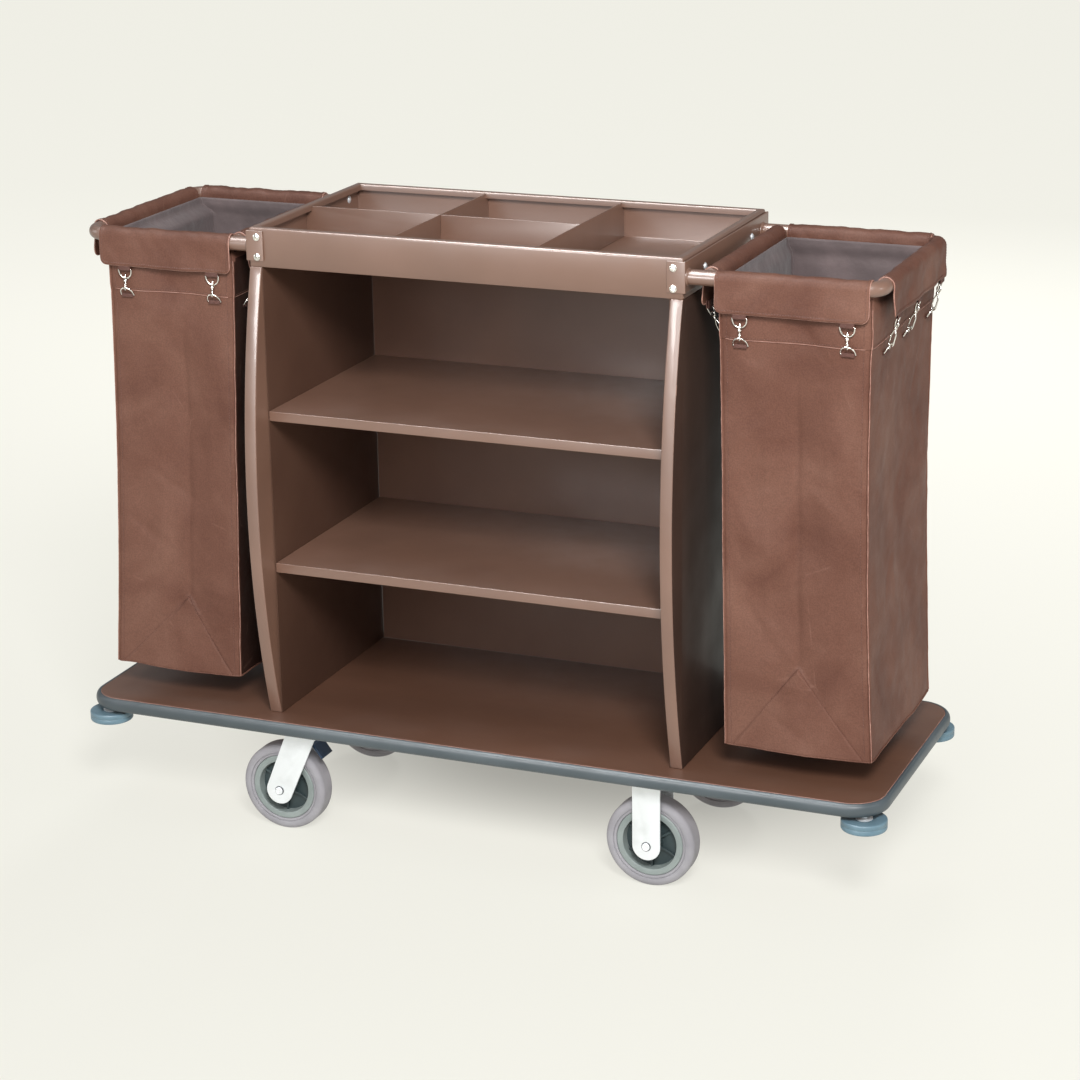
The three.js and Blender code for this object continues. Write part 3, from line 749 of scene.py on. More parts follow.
class Bag:
    """The bag's cloth as a function of a side, a place along it and a height."""

    front = -190 * MM
    corner = 9 * MM
    side_steps = 60

    def __init__(self, name, side):
        self.name, self.side = name, side
        self.hang = HANG[name]
        self.apex = self.hang["apex"] * MM
        ends = (*zip(self.hang["bottom"], self.hang["top"]), self.hang["back"])
        self.ends = [[place * MM for place in pair] for pair in ends]
        right, left = ["outer", "inner"][::side]
        self.order = ["front", right, "rear", left]
        self.creases = {face: self.random_creases(round(self.hang["seed"] * 10) + index)
                        for index, face in enumerate(FACE_SEEDS)}

    def outline(self, z):
        """Inner X, outer X, front Y and rear Y at a height. Both X are magnitudes."""
        t = min((z - BAG_BOTTOM) / (NECK - BAG_BOTTOM), 1)
        inner, outer, back = [lerp(pair, t) for pair in self.ends]
        waist = 7 * MM * sin(pi * clamped(t))
        neck = smooth_step(NECK - 14 * MM, NECK + 8 * MM, z)
        return (lerp((inner, NECK_INNER), neck), lerp((outer - waist, NECK_OUTER), neck),
                lerp((self.front, -NECK_HALF), neck), lerp((back, NECK_HALF), neck))

    def swell(self, face, u, z):
        """How far the cloth stands out from the flat side: u runs from -1 to 1 along the side."""
        seed = self.hang["seed"] + FACE_SEEDS[face]
        loose = smooth_step(NECK + 4 * MM, NECK - 30 * MM, z)
        free = (1 - u ** 8) * loose
        down = (z - BAG_BOTTOM) / (NECK - BAG_BOTTOM)
        place = Vector((u * 1.3 + seed, seed, z * 7))
        broad = noise.fractal(place * 0.9, 1.0, 2.0, 2) * 3.2 * MM
        across = Vector((u * 0.15, z, seed * 0.31))
        bend = noise.noise_vector(across * 6) * 0.03
        folds = self.crumple(across + bend, 0.16, 12 * MM) + self.crumple(across + bend, 0.06, 2.4 * MM)
        patchy = 0.35 + 0.65 * smooth_step(-0.25, 0.3, noise.noise(Vector((u * 1.2, seed, z * 4))))
        fine = noise.fractal(Vector((u * 11 + seed, seed, z * 60)), 1.0, 2.0, 3) * 0.4 * MM
        sag = -3.5 * MM * sin(pi * clamped(down)) * (1 - u * u)
        height = (broad + folds * patchy + self.creased(face, u, z) + sag) * free + fine * loose
        height += self.folded_bottom(face, u, z) * (1 - u ** 10)
        height += 1.3 * MM * smooth_step(BAND_SEAM - 0.8 * MM, BAND_SEAM + 0.8 * MM, z)
        if face == "front":
            height -= self.clip_dimples(u, z)
        return height

    def random_creases(self, seed):
        """Straight folds of one side: place, level, direction, half length, depth, half width."""
        draw = Random(seed)
        creases = []
        for _ in range(16):
            lean = draw.choice((-1, 1)) * radians(draw.uniform(25, 70))
            place, level = draw.uniform(-0.9, 0.9), draw.uniform(BAG_BOTTOM, NECK)
            sizes = [draw.uniform(*limits) * MM for limits in ((35, 120), (-1.8, 1.5), (9, 20))]
            creases.append((place, level, cos(lean), sin(lean), *sizes))
        return creases

    def creased(self, face, u, z):
        """Height of the straight folds at a place."""
        half = 0.125 if face in ENDS else 0.18
        height = 0
        for place, level, ahead, up, reach, depth, width in self.creases[face]:
            x, rise = (u - place) * half, z - level
            along, off = x * ahead + rise * up, abs(rise * ahead - x * up)
            if abs(along) < reach and off < width:
                height += depth * (1 - off / width) ** 1.5 * (1 - (along / reach) ** 2)
        return height

    @staticmethod
    def crumple(place, size, depth):
        """Sharp straight creases between slack patches, as coated cloth keeps from being folded."""
        nearest = noise.voronoi(place / size)[0][0]
        return (sqrt(nearest * nearest + 0.02) - 0.45) * depth

    def folded_bottom(self, face, u, z):
        """The bottom is folded like a paper sack: a crease down each end and a flat triangle."""
        if face not in ENDS:
            return 0
        rise = (self.apex - z) / (self.apex - BAG_BOTTOM)
        off = abs(u - self.fold_middle(face))
        valley = -6 * MM * max(0, 1 - off / 0.45) - 2.2 * MM * max(0, 1 - off / 0.07)
        valley *= smooth_step(960 * MM, 800 * MM, z)
        if rise <= 0:
            return valley
        inside = rise - off
        triangle = 19 * MM * max(0, inside) * rise * (1 - 0.5 * rise)
        return valley * smooth_step(0.04, -0.02, inside) + triangle

    def fold_middle(self, face):
        """Where the crease lies along the side at the bottom, from -1 to 1."""
        inner, outer, _, _ = self.outline(BAG_BOTTOM)
        middle = (2 * self.hang["crease"] * MM - inner - outer) / (outer - inner)
        return middle * self.side if face == "front" else -middle * self.side

    def folded_ear(self, face):
        """The triangle of the folded bottom, laid up against the side from corner to corner."""
        middle = self.fold_middle(face)
        rows, columns = 44, 26
        points = []
        for i in range(rows + 1):
            share = max(i / rows, 0.01)
            z = self.apex - (self.apex - BAG_BOTTOM - 1 * MM) * share
            left, right = lerp((middle, -0.97), share), lerp((middle, 0.97), share)
            points += [self.point(face, u, z, -1.5 * MM) for u in evenly(left, right, columns)]
        return points, strip_faces(rows + 1, columns + 1, wrap_columns=False)

    def clip_dimples(self, u, z):
        """The cloth is pulled up where the clips hold it and slack between them."""
        near = max(0, 1 - abs(z - BAND_SEAM - 18 * MM) / (45 * MM))
        return 3.4 * MM * near * cos(u * 4.6)

    def point(self, face, u, z, inset=0.0):
        """A point of the cloth, or of a layer that lies inset behind it."""
        inner, outer, front, back = self.outline(z)
        out = self.swell(face, u, z) - inset
        round_x, round_y = (outer - inner) / 2 - self.corner, (back - front) / 2 - self.corner
        middle_x, middle_y = (outer + inner) / 2, (back + front) / 2
        if face in ENDS:
            toward = ENDS[face]
            return Vector((self.side * middle_x - toward * u * round_x,
                           middle_y + toward * (round_y + self.corner + out), z))
        toward = 1 if face == "outer" else -1
        x = middle_x + toward * (round_x + self.corner + out)
        return Vector((self.side * x, middle_y + toward * self.side * u * round_y, z))

    def ring(self, z, inset=0.0):
        """Points once round the bag at a height, with its rounded corners, counter-clockwise."""
        places = evenly(-1, 1, self.side_steps)
        straight = [[self.point(face, u, z, inset) for u in places] for face in self.order]
        points = []
        for here, after in zip(straight, straight[1:] + straight[:1]):
            points += here
            points += self.round_corner(here, after)
        return points

    @staticmethod
    def round_corner(here, after, steps=3):
        """Points between the end of one side and the start of the next."""
        a, b = here[-1], after[0]
        tangent = (here[-1] - here[-2]).normalized()
        tip = a + tangent * abs((b - a).dot(tangent))
        inner = [i / (steps + 1) for i in range(1, steps + 1)]
        return [a * (1 - t) ** 2 + tip * 2 * t * (1 - t) + b * t * t for t in inner]

    def shell(self, inset, levels, bottom_rise):
        """Side cloth down to the bottom edge and a drooping bottom, as one open shell."""
        rings = [self.ring(z, inset) for z in levels]
        hem, size = rings[0], len(rings[0])
        middle = sum(hem, Vector()) / size
        for share in (0.97, 0.8, 0.55, 0.3, 0.1):
            rise = (bottom_rise + 3 * MM * (1 - share)) * sqrt(1 - share)
            flat = [(lerp((middle.x, p.x), share), lerp((middle.y, p.y), share)) for p in hem]
            rings.insert(0, [Vector((x, y, p.z + rise)) for (x, y), p in zip(flat, hem)])
        points = [p for ring in rings for p in ring]
        faces = strip_faces(len(rings), size)
        faces.append(list(range(size))[::-1])
        return points, faces

    @staticmethod
    def levels():
        """Heights of the rows of points, closer together at the band seam."""
        seam = [BAND_SEAM + step * MM for step in (-1.6, -0.8, 0, 0.8, 1.6)]
        clear = [z for z in evenly(BAG_BOTTOM, MOUTH, 180) if all(abs(z - s) > 1.5 * MM for s in seam)]
        return sorted(clear + seam)

    def diagonal(self, face, u):
        """Outward direction at the corner where the end u of the front or rear side lies."""
        return (Y * ENDS[face] - X * ENDS[face] * u).normalized()

    def corner_path(self, face, u, start, end, out):
        """Points up a corner of the cloth, lifted off it by out along the diagonal."""
        return [self.edge_point(face, u, z) + self.diagonal(face, u) * out for z in evenly(start, end, 70)]

    def edge_point(self, face, u, z):
        """The middle of the rounded corner at the end u of a side."""
        ring = self.ring(z)
        quarter = len(ring) // 4
        start = self.order.index(face) * quarter
        return ring[start + quarter - 2] if u > 0 else ring[start - 2]


def cloth_piece(name, shape, material, thickness, sharp, replaces=()):
    """A sheet of cloth whose thickness grows inwards from the shape."""
    piece = make(name, shape, material, replaces=replaces, sharp=sharp)
    solid = piece.modifiers.new("cloth_thickness", "SOLIDIFY")
    solid.thickness = thickness
    solid.offset = -1.0
    solid.use_even_offset = True
    return piece


def bag(name, side):
    cloth = Bag(name, side)
    body = cloth_piece(f"bag_{name}_cloth", cloth.shell(0, cloth.levels(), 0), FABRIC, BAG_CLOTH, 75,
                       (f"bag_{name}",))
    # Faces that look towards the cabinet get a cloth about half as bright: painted shade of the gap between
    # bag and cabinet.
    recolour(body, PAINTED_SHADE_FABRIC, lambda face: face.normal.x * side < -0.9)
    inside = cloth.shell(LINING_INSET, [z + 3 * MM for z in cloth.levels()], 1 * MM)
    lining = cloth_piece(f"bag_{name}_lining", inside, LINING, LINING_CLOTH, 75)
    ears = [cloth_piece(f"bag_{name}_folded_ear_{face}", cloth.folded_ear(face), FABRIC, BAG_CLOTH, 80)
            for face in ENDS]
    bag_seams(cloth)
    lining_seams(cloth)
    for face in FACES:
        flap(cloth, face)
        clips(cloth, face)


def bag_seams(cloth):
    """Pinched seams down the corners, stitches beside them and along the band."""
    section = rounded_bar(2.6 * MM, 0.9 * MM, 0.8 * MM, 2)
    hem = BAG_BOTTOM + 1 * MM
    proud = -0.35 * MM
    stitches, crests = [], []
    for face in ENDS:
        for end, u in (("a", -1), ("b", 1)):
            up = cloth.diagonal(face, u).cross(Z)
            path = cloth.corner_path(face, u, hem, NECK + 2 * MM, 0.9 * MM)
            make(f"bag_{cloth.name}_seam_{face}_{end}", sweep(path, section, up), FABRIC)
            crest = cloth.corner_path(face, u, hem, NECK, 3.2 * MM)
            crests.append(sweep(crest, circle(0.7 * MM, 8), up))
            stitches += stitch_row([cloth.point(face, 0.98 * u, p.z, proud) for p in path], Y)
    for face in FACES:
        line = [cloth.point(face, u, BAND_SEAM + 4 * MM, proud) for u in evenly(-0.99, 0.99, 40)]
        stitches += stitch_row(line, Z)
        edge = [cloth.point(face, u, BAND_SEAM + 0.6 * MM) for u in evenly(-1, 1, 40)]
        crests.append(sweep(edge, circle(0.6 * MM, 8)))
    bottom = sweep(cloth.ring(hem, -0.5 * MM), circle(1.4 * MM, 8), closed=True)
    make(f"bag_{cloth.name}_bottom_seam", bottom, FABRIC)
    make(f"bag_{cloth.name}_stitches", joined(stitches), THREAD)
    # The seam crests are coloured pale: a painted highlight along them.
    make(f"bag_{cloth.name}_seam_edges", joined(crests), EDGE_WEAR_AND_HIGHLIGHT)


def lining_seams(cloth):
    """Bound corner seams of the lining, inside the bag."""
    section = rounded_bar(1.3 * MM, 1.3 * MM, 0.9 * MM, 2)
    shapes = [sweep(cloth.corner_path(face, u, BAG_BOTTOM + 12 * MM, MOUTH, -4.6 * MM), section, X)
              for face in ENDS for u in (-1, 1)]
    make(f"bag_{cloth.name}_lining_seams", joined(shapes), LINING)


def stitch_row(line, up, length=3.2 * MM, pitch=4.6 * MM):
    """Short rounded threads laid end to end along a line."""
    stitches, travelled = [], 0.0
    for a, b in zip(line, line[1:]):
        step = (b - a).length
        while travelled < step:
            middle = a.lerp(b, travelled / step)
            ahead = (b - a).normalized()
            ends = [middle + ahead * length * t for t in (-0.5, -0.3, 0.3, 0.5)]
            stitches.append(sweep(ends, circle(0.45 * MM, 5), start_up=up, scale=[0.3, 1, 1, 0.3]))
            travelled += pitch
        travelled -= step
    return stitches


# ------------------------------------------------------------------ flaps over the tubes
# Ends of each flap along its tube: magnitudes of X for front and rear, Y for outer and inner.
FLAP_ENDS = {
    "left": dict(front=(427, 678), rear=(440, 686), outer=(-152, 168), inner=(-168, 172)),
    "right": dict(front=(441, 692), rear=(441, 690), outer=(-152, 172), inner=(-168, 172)),
}
FLAP_CLOTH = 1.7 * MM
FLAP_RADIUS = 14.4 * MM
INSIDE_DROP = 12 * MM
FLAP_REACH = INSIDE_DROP + pi * FLAP_RADIUS + 51 * MM
STITCH_INSET = 4.2 * MM


class Flap:
    """Cloth folded over one tube: along it, then round it from the inside to the hanging edge."""

    def __init__(self, bag_cloth, face):
        self.face, self.seed = face, bag_cloth.hang["seed"]
        self.start, self.end = [e * MM for e in FLAP_ENDS[bag_cloth.name][face]]
        self.span = self.end - self.start
        if face in ENDS:
            self.outward = Y * ENDS[face]
            self.along, self.across = X * bag_cloth.side, Y
            self.fixed = ENDS[face] * HALF_SPAN
        else:
            outer = face == "outer"
            self.outward = X * bag_cloth.side * (1 if outer else -1)
            self.along, self.across = Y, X
            self.fixed = bag_cloth.side * REACH if outer else centre_of(f"cross_bar_{bag_cloth.name}").x

    def tube_shift(self, place):
        """How far the tube has bent inward at a place along the flap."""
        straight = (REACH if self.face in ENDS else HALF_SPAN) - BEND
        if self.face == "inner" or abs(place) <= straight:
            return 0
        past = min(abs(place) - straight, 0.8 * BEND)
        return BEND - sqrt(BEND * BEND - past * past)

    def centre(self, place):
        """The middle of the tube at a place along the flap."""
        base = self.along * place + Z * TUBE_Z
        return base + self.across * self.fixed - self.outward * self.tube_shift(place)

    def point(self, along, around, lift=0.0):
        """along from 0 to 1; around is the distance from the inner edge, in metres."""
        place = self.start + along * self.span
        pucker = noise.noise(Vector((place * 48 + around * 42, self.seed, around * 14))) * 1.7 * MM
        pucker += noise.noise(Vector((place * 130 - around * 60, self.seed + 4, around * 30))) * 0.6 * MM
        seed = self.seed + len(self.face)
        slack = noise.fractal(Vector((place * 14, seed, around * 16)), 1.0, 2.0, 3)
        past = around - INSIDE_DROP
        if past < 0:
            return self.centre(place) - self.outward * (FLAP_RADIUS + pucker + lift) + Z * past
        turn = past / FLAP_RADIUS
        if turn < pi:
            bulge = FLAP_RADIUS + pucker * (0.4 + 0.6 * sin(turn)) + lift
            return self.centre(place) + self.outward * -cos(turn) * bulge + Z * sin(turn) * bulge
        down = past - pi * FLAP_RADIUS
        sway = 3.2 * MM * slack * smooth_step(0, 30 * MM, down)
        sway += 1.2 * MM * smooth_step(20 * MM, 50 * MM, down)
        out = FLAP_RADIUS + pucker * 0.4 + sway + lift
        return self.centre(place) + self.outward * out - Z * down

    def length_around(self, along):
        """Distance round the flap to its hanging edge, with rounded lower corners."""
        near = min(along, 1 - along) * self.span
        corner = 11 * MM
        trim = corner - sqrt(max(corner * corner - (corner - near) ** 2, 0)) if near < corner else 0
        wave = noise.noise(Vector((along * 4, self.seed, 7.7))) * 1.2 * MM
        return FLAP_REACH - trim + wave

    @staticmethod
    def columns():
        """Places along the flap, closer together at its rounded ends."""
        near = [0, 0.004, 0.012, 0.022, 0.034]
        return near + evenly(0.05, 0.95, 56) + [1 - c for c in near[::-1]]

    def grid(self):
        """The whole flap as an open sheet."""
        columns, rows = self.columns(), evenly(0, 1, 44)
        points = []
        for share in rows:
            for along in columns:
                reach = self.length_around(along)
                points.append(self.point(along, reach * share, self.hem(along, reach * share, reach)))
        return points, strip_faces(len(rows), len(columns), wrap_columns=False)

    def hem(self, along, around, reach):
        """The border is folded under and stitched down, so it is thicker than the rest."""
        edge = min(along * self.span, (1 - along) * self.span, reach - around)
        thicker = 0.7 * MM * (1 - smooth_step(3.2 * MM, 5.2 * MM, edge))
        return thicker - 0.2 * MM * max(0, 1 - abs(edge - STITCH_INSET) / (1.2 * MM))


def flap(bag_cloth, face):
    shape = Flap(bag_cloth, face)
    name = f"bag_{bag_cloth.name}_flap_{face}"
    piece = cloth_piece(f"{name}_cloth", shape.grid(), FABRIC, FLAP_CLOTH, 80, (name,))
    make(f"{name}_stitches", joined(flap_stitches(shape)), THREAD)
    rim = [shape.point(a, 0.5 * MM, 0.4 * MM) for a in evenly(0, 1, 60)]
    edges = [sweep(rim, rounded_bar(0.9 * MM, 1.3 * MM, 0.7 * MM, 2)), flap_border(shape)]
    # The rim and border of the flap are coloured pale: wear and a painted highlight.
    make(f"{name}_binding", joined(edges), EDGE_WEAR_AND_HIGHLIGHT)


def flap_stitches(shape):
    """One row along the hanging edge and one beside each end."""
    inset = STITCH_INSET / shape.span
    proud = 0.7 * MM
    places = evenly(inset, 1 - inset, 50)
    row = [shape.point(a, shape.length_around(a) - STITCH_INSET, proud) for a in places]
    stitches = stitch_row(row, shape.outward)
    for a in (inset, 1 - inset):
        reach = shape.length_around(a) - 6 * MM
        column = [shape.point(a, around, proud) for around in evenly(INSIDE_DROP, reach, 30)]
        stitches += stitch_row(column, shape.outward)
    return stitches


def flap_border(shape):
    """Thin turned edge down one end of the flap, along its hanging edge and up the other end."""
    sunk = -0.6 * MM
    down, up = [[shape.point(end, around, sunk) for around in evenly(0, shape.length_around(end), 40)[2:-1]]
                for end in (0, 1)]
    low = [shape.point(a, shape.length_around(a) - 0.2 * MM, sunk) for a in shape.columns()]
    return sweep(down + low + up[::-1], circle(1.15 * MM, 8), shape.outward)


# ------------------------------------------------------------------ clips
# Places of the clips along each face: X for front and rear, Y for outer and inner.
CLIP_PLACES = {
    "left": dict(front=(464, 633), rear=(470, 640), outer=(-112, 7, 140), inner=(-142, 110)),
    "right": dict(front=(482, 659), rear=(480, 656), outer=(-112, 7, 150), inner=(-142, 110)),
}
RING_WIRE = 1.25 * MM


def upright(outline):
    """A path in the XZ plane, given in millimetres."""
    return [(x, 0, z) for x, z in in_mm(outline)]


def d_ring():
    """Straight side along X at the origin, bow towards -Z."""
    half, deep = 12, 13.5
    bow = [(half * cos(a), -3 + deep * sin(a)) for a in evenly(pi, 2 * pi, 14)]
    path = upright([(half - 1, 0), (1 - half, 0), (-half - 0.6, -1), *bow, (half + 0.6, -1)])
    return sweep(path, circle(RING_WIRE, 10), Y, closed=True)


def webbing_loop(width, rise):
    """A strap end folded round a bar at the origin, rising to +Z."""
    radius = 2 * MM
    turn = [(radius * sin(a), -radius * cos(a)) for a in evenly(-pi / 2, pi / 2, 6)]
    wide = 2.1 * MM
    path = [(-radius, rise), (-wide, rise / 2), *turn, (wide, rise / 2), (radius, rise)]
    return sweep([(0, y, z) for y, z in path], rounded_bar(width / 2, 0.6 * MM, 0.5 * MM, 2), Y)


def snap_hook(length):
    """Swivel eye at the origin and a hook whose bow is length (in millimetres) below it, in XZ."""
    eye_radius, wide = 4.2, 4.6
    eye = sweep(upright(circle(eye_radius, 16)), circle(1.3 * MM, 10), Y, closed=True)
    barrel_top = -eye_radius - 0.6
    barrel = [(0, 0), (2.2, 0), (3.1, -0.8), (3.1, -3.8), (2.3, -4.8), (0, -4.8)]
    collar = turned([(r, barrel_top + h) for r, h in barrel], 20)
    top, centre = barrel_top - 4.4, wide - length
    drop = -length - top
    back = [(0, top), (wide * 0.55, top + drop * 0.12), (wide, top + drop * 0.3), (wide, centre)]
    bow = [(wide * cos(a), centre + wide * sin(a)) for a in evenly(0, -pi, 10)[1:]]
    hook = sweep(upright(back + bow), circle(1.55 * MM, 10), Y)
    gate = upright([(-wide, centre + 0.8), (-wide * 0.9, top + drop * 0.35), (-1.2, top + drop * 0.06)])
    gate = sweep(gate, circle(1.2 * MM, 8), Y)
    knob = turned([(0, -1.6), (1.1, -1.2), (1.6, 0), (1.1, 1.2), (0, 1.6)], 14)
    knob = moved(knob, Matrix.Translation((X * (-wide - 1.2) + Z * (top + drop * 0.45)) * MM))
    return joined([eye, collar, hook, gate, knob])


def clips(bag_cloth, face):
    shape = Flap(bag_cloth, face)
    for index, place in enumerate(CLIP_PLACES[bag_cloth.name][face]):
        clip(f"bag_{bag_cloth.name}_{face}_{index + 1}", bag_cloth, shape, place * MM)


def cloth_spot(bag_cloth, face, place, z):
    """The point of the bag's side nearest to a place along it."""
    inner, outer, front, back = bag_cloth.outline(z)
    low, high = (inner, outer) if face in ENDS else (front, back)
    toward = -ENDS[face] if face in ENDS else 1 if face == "outer" else -1
    half = (high - low) / 2 - bag_cloth.corner
    u = toward * bag_cloth.side * (place - (low + high) / 2) / half
    return bag_cloth.point(face, max(-0.97, min(0.97, u)), z)


def clip(name, bag_cloth, shape, place):
    """Strap, D-ring, snap hook, D-ring and sewn loop, from the flap down to the band seam."""
    outward, at_end = shape.outward, shape.face in ENDS
    sideways = Z.cross(outward)
    along = (place - shape.start) / shape.span
    edge = shape.point(along, shape.length_around(along) - 2 * MM)
    hang = edge - outward * 3.0 * MM - Z * 9 * MM
    low_z = BAND_SEAM - (8 if at_end else 20) * MM
    anchor = cloth_spot(bag_cloth, shape.face, place, low_z) + outward * 2.6 * MM
    tilt = (anchor - hang).normalized()
    strap = moved(webbing_loop(23 * MM, 12 * MM), basis(hang, sideways, outward, Z))
    make(f"{name}_strap", strap, WEBBING)
    upper = basis(hang, sideways, tilt.cross(sideways).normalized(), -tilt)
    make(f"{name}_upper_ring", moved(d_ring(), upper), NICKEL)
    lean = (outward * 0.55 + Z * 0.85).normalized()
    lower = basis(anchor, -sideways, lean.cross(sideways).normalized(), -lean)
    make(f"{name}_lower_ring", moved(d_ring(), lower), NICKEL)
    loop = moved(webbing_loop(22 * MM, 3.6 * MM), basis(anchor, sideways, outward, -Z))
    make(f"{name}_loop", loop, WEBBING)
    start = hang + tilt * 15.2 * MM + outward * 0.8 * MM
    run = anchor + lean * 13 * MM - start
    length = max(run.length, 14 * MM) + 3 * MM
    aim = run.normalized()
    flat = aim.cross(outward).normalized()
    hook_frame = basis(start - aim * 2 * MM, flat, -aim.cross(flat), -aim)
    turn = Matrix.Rotation(radians(-65 if at_end else 65), 4, "Z")
    make(f"{name}_hook", moved(snap_hook(length / MM), hook_frame @ turn), NICKEL, sharp=60)


# ------------------------------------------------------------------ castors
def across(centre):
    """Frame at centre whose Z is along -Y, so that what is turned about Z turns about the axle."""
    return basis(centre, X, Z, -Y)


def mirrored(half):
    """A profile of (radius, height) points followed by its mirror image across height 0."""
    return half + [(r, -h) for r, h in half[::-1]]


def wheel(tag, centre):
    """Tyre with a crowned tread and a groove in its wall, on a rim whose web is coloured far darker,
    painted shade of its recess.
    """
    body, place = f"wheel_{tag}", across(centre)
    wall = [(60.3, -15), (60.3, -18.4), (61, -19.2), (64, -19.4), (64.5, -18.2), (65.3, -18.2), (66, -20)]
    tread = [(66 + 14 * sin(a) ** 0.75, -21 + 9 * (1 - cos(a))) for a in quarter_turn(9)[1:]]
    tyre = moved(turned(mirrored(wall + tread), 96), place)
    make(f"tyre_{tag}_moulded", tyre, TREAD, body, (f"tyre_{tag}",), sharp=50)
    rim = mirrored([(48.5, -18.6), (50, -19.3), (58, -19.3), (59.8, -18)])
    rim = moved(turned(rim + [(47.2, 6), (46.8, 0), (47.2, -6)], 96), place)
    make(f"hub_{tag}_rim", rim, RIM, body, (f"hub_{tag}",), bevel=0.5 * MM)
    # The web is coloured much darker than the rim: painted shade of the recess.
    make(f"hub_{tag}_web", moved(hub_web(), place), RECESS_SHADE_PLASTIC, body, bevel=0.5 * MM)


def hub_web():
    """Boss, web and spokes inside the rim."""
    web = [(6.4, -27.8), (13, -27.8), (14.5, -27), (16.2, -12), (20, -3.5), (47.6, -2.5)]
    blade = in_mm([(15, 2), (48, 2), (48, 8), (34, 7), (15, 12)])
    blade = prism(blade, -2 * MM, 2 * MM)
    shapes = [turned(mirrored(web), 96)]
    spokes = 6
    for face in (-1, 1):
        stand = basis(Vector(), X, Z * face, Y)
        for i in range(spokes):
            turn = Matrix.Rotation(2 * pi * (i + (face > 0) / 2) / spokes, 4, "Z")
            shapes.append(moved(blade, turn @ stand))
    return joined(shapes)


def axle(tag, body, centre):
    """Hex bolt: its head on the inside of the fork, its riveted end on the outside."""
    outside = ENDS[tag.split("_")[0]]
    place = basis(centre, X * -outside, Z, Y * outside)
    riveted = [(6.9, 36), (7.1, 38), (6.4, 39.2), (5, 39.8), (4.2, 39.4), (0, 39.2)]
    shank = [(0, -43), (5.4, -43), (5.4, 36), *riveted]
    washer = [(5.6, -36), (5.6, -37.4), (10.2, -37.4), (10.2, -36)]
    head = prism(hexagon(16 * MM), -43 * MM, -37.4 * MM)
    bolt = moved(joined([turned(shank, 40), turned(washer, 40), head]), place)
    make(f"axle_{tag}_bolt", bolt, ZINC, body, (f"axle_{tag}",), bevel=0.4 * MM)
    ring = turned([(7, 36), (8.3, 36), (8.3, 36.5), (7, 36.5)], 40)
    make(f"axle_{tag}_ring", moved(ring, place), DARK, body, sharp=50)


def plate_bolts(tag, centre):
    """Four hex bolts with washers, up through the castor's plate into the deck."""
    plate_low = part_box("deck_board")[0][2] - 4.3 * MM
    washer = turned([(0, 0), (8, 0), (8, 1.2), (0, 1.2)], 28)
    bolt = joined([prism(hexagon(12.5 * MM), 1.2 * MM, 6.2 * MM), washer])
    for index, (a, b) in enumerate([(-1, -1), (1, -1), (1, 1), (-1, 1)]):
        spot = (centre.x + a * 39 * MM, centre.y + b * 31 * MM, plate_low)
        head = moved(bolt, facing(spot, -Z))
        make(f"plate_bolt_{tag}_{index + 1}", head, ZINC, bevel=0.4 * MM)


def castor_wheel(tag, fork_body):
    """Fork, wheel and axle; returns the middle of the wheel."""
    centre = centre_of(f"tyre_{tag}")
    rounded_copy(f"fork_{tag}", ZINC, 1.2 * MM, fork_body)
    wheel(tag, centre)
    axle(tag, fork_body, centre)
    return centre


def fixed_castor(end):
    tag = f"{end}_right"
    plate_bolts(tag, castor_wheel(tag, "cart"))


def swivel_castor(end):
    tag = f"{end}_left"
    castor_wheel(tag, f"swivel_{end}")
    rounded_copy(f"swivel_plate_{tag}", ZINC, 0.9 * MM)
    pivot = centre_of(f"swivel_plate_{tag}")
    pivot.z = 0
    dish = turned([(31.5, 199), (32.5, 196), (30.5, 191.2), (26, 190.6), (26, 194), (28, 199)], 64)
    make(f"ball_race_{tag}", moved(dish, Matrix.Translation(pivot)), ZINC, sharp=50)
    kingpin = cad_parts[f"kingpin_{tag}"].data.materials
    kingpin.clear()
    kingpin.append(ZINC)
    plate_bolts(tag, pivot)
    rounded_copy(f"brake_pedal_{tag}", PEDAL, 1.0 * MM, f"brake_{end}")


def corner_rollers():
    for end in ENDS:
        for name in SIDES:
            corner_roller(f"{end}_{name}")


def corner_roller(tag):
    """Roller with rounded edges and a shallow groove round it, on an upright bolt."""
    low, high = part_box(f"roller_{tag}")
    spot = centre_of(f"roller_{tag}")
    spot.z = low[2]
    place = Matrix.Translation(spot)
    tall = (high[2] - low[2]) / MM
    radius, edge = 38.5, 2.6
    lower = [(radius - edge * (1 - sin(a)), edge * (1 - cos(a))) for a in quarter_turn(5)]
    half = [(6.4, 2.2), (17, 2.2), (18.5, 0.2), (20.5, 0)] + lower + [(radius, tall / 2 - 0.5)]
    full = half + [(38.1, tall / 2)] + [(r, tall - h) for r, h in half[::-1]]
    make(f"roller_{tag}_moulded", moved(turned(full, 72), place), ROLLER,
         f"bumper_roller_{tag}", (f"roller_{tag}",), sharp=50)
    bolt = [(0, -2.3), (8.5, -2.3), (9.6, -1.2), (9.6, 1.4), (4.9, 1.6), (4.9, 16.6), (14.4, 16.6),
            (14.4, 18.4), (11, 19.2), (8, 20.6), (8, 30.6), (0, 30.6)]
    make(f"roller_bolt_{tag}_turned", moved(turned(bolt, 40), place), ZINC,
         replaces=(f"roller_bolt_{tag}",), sharp=50)


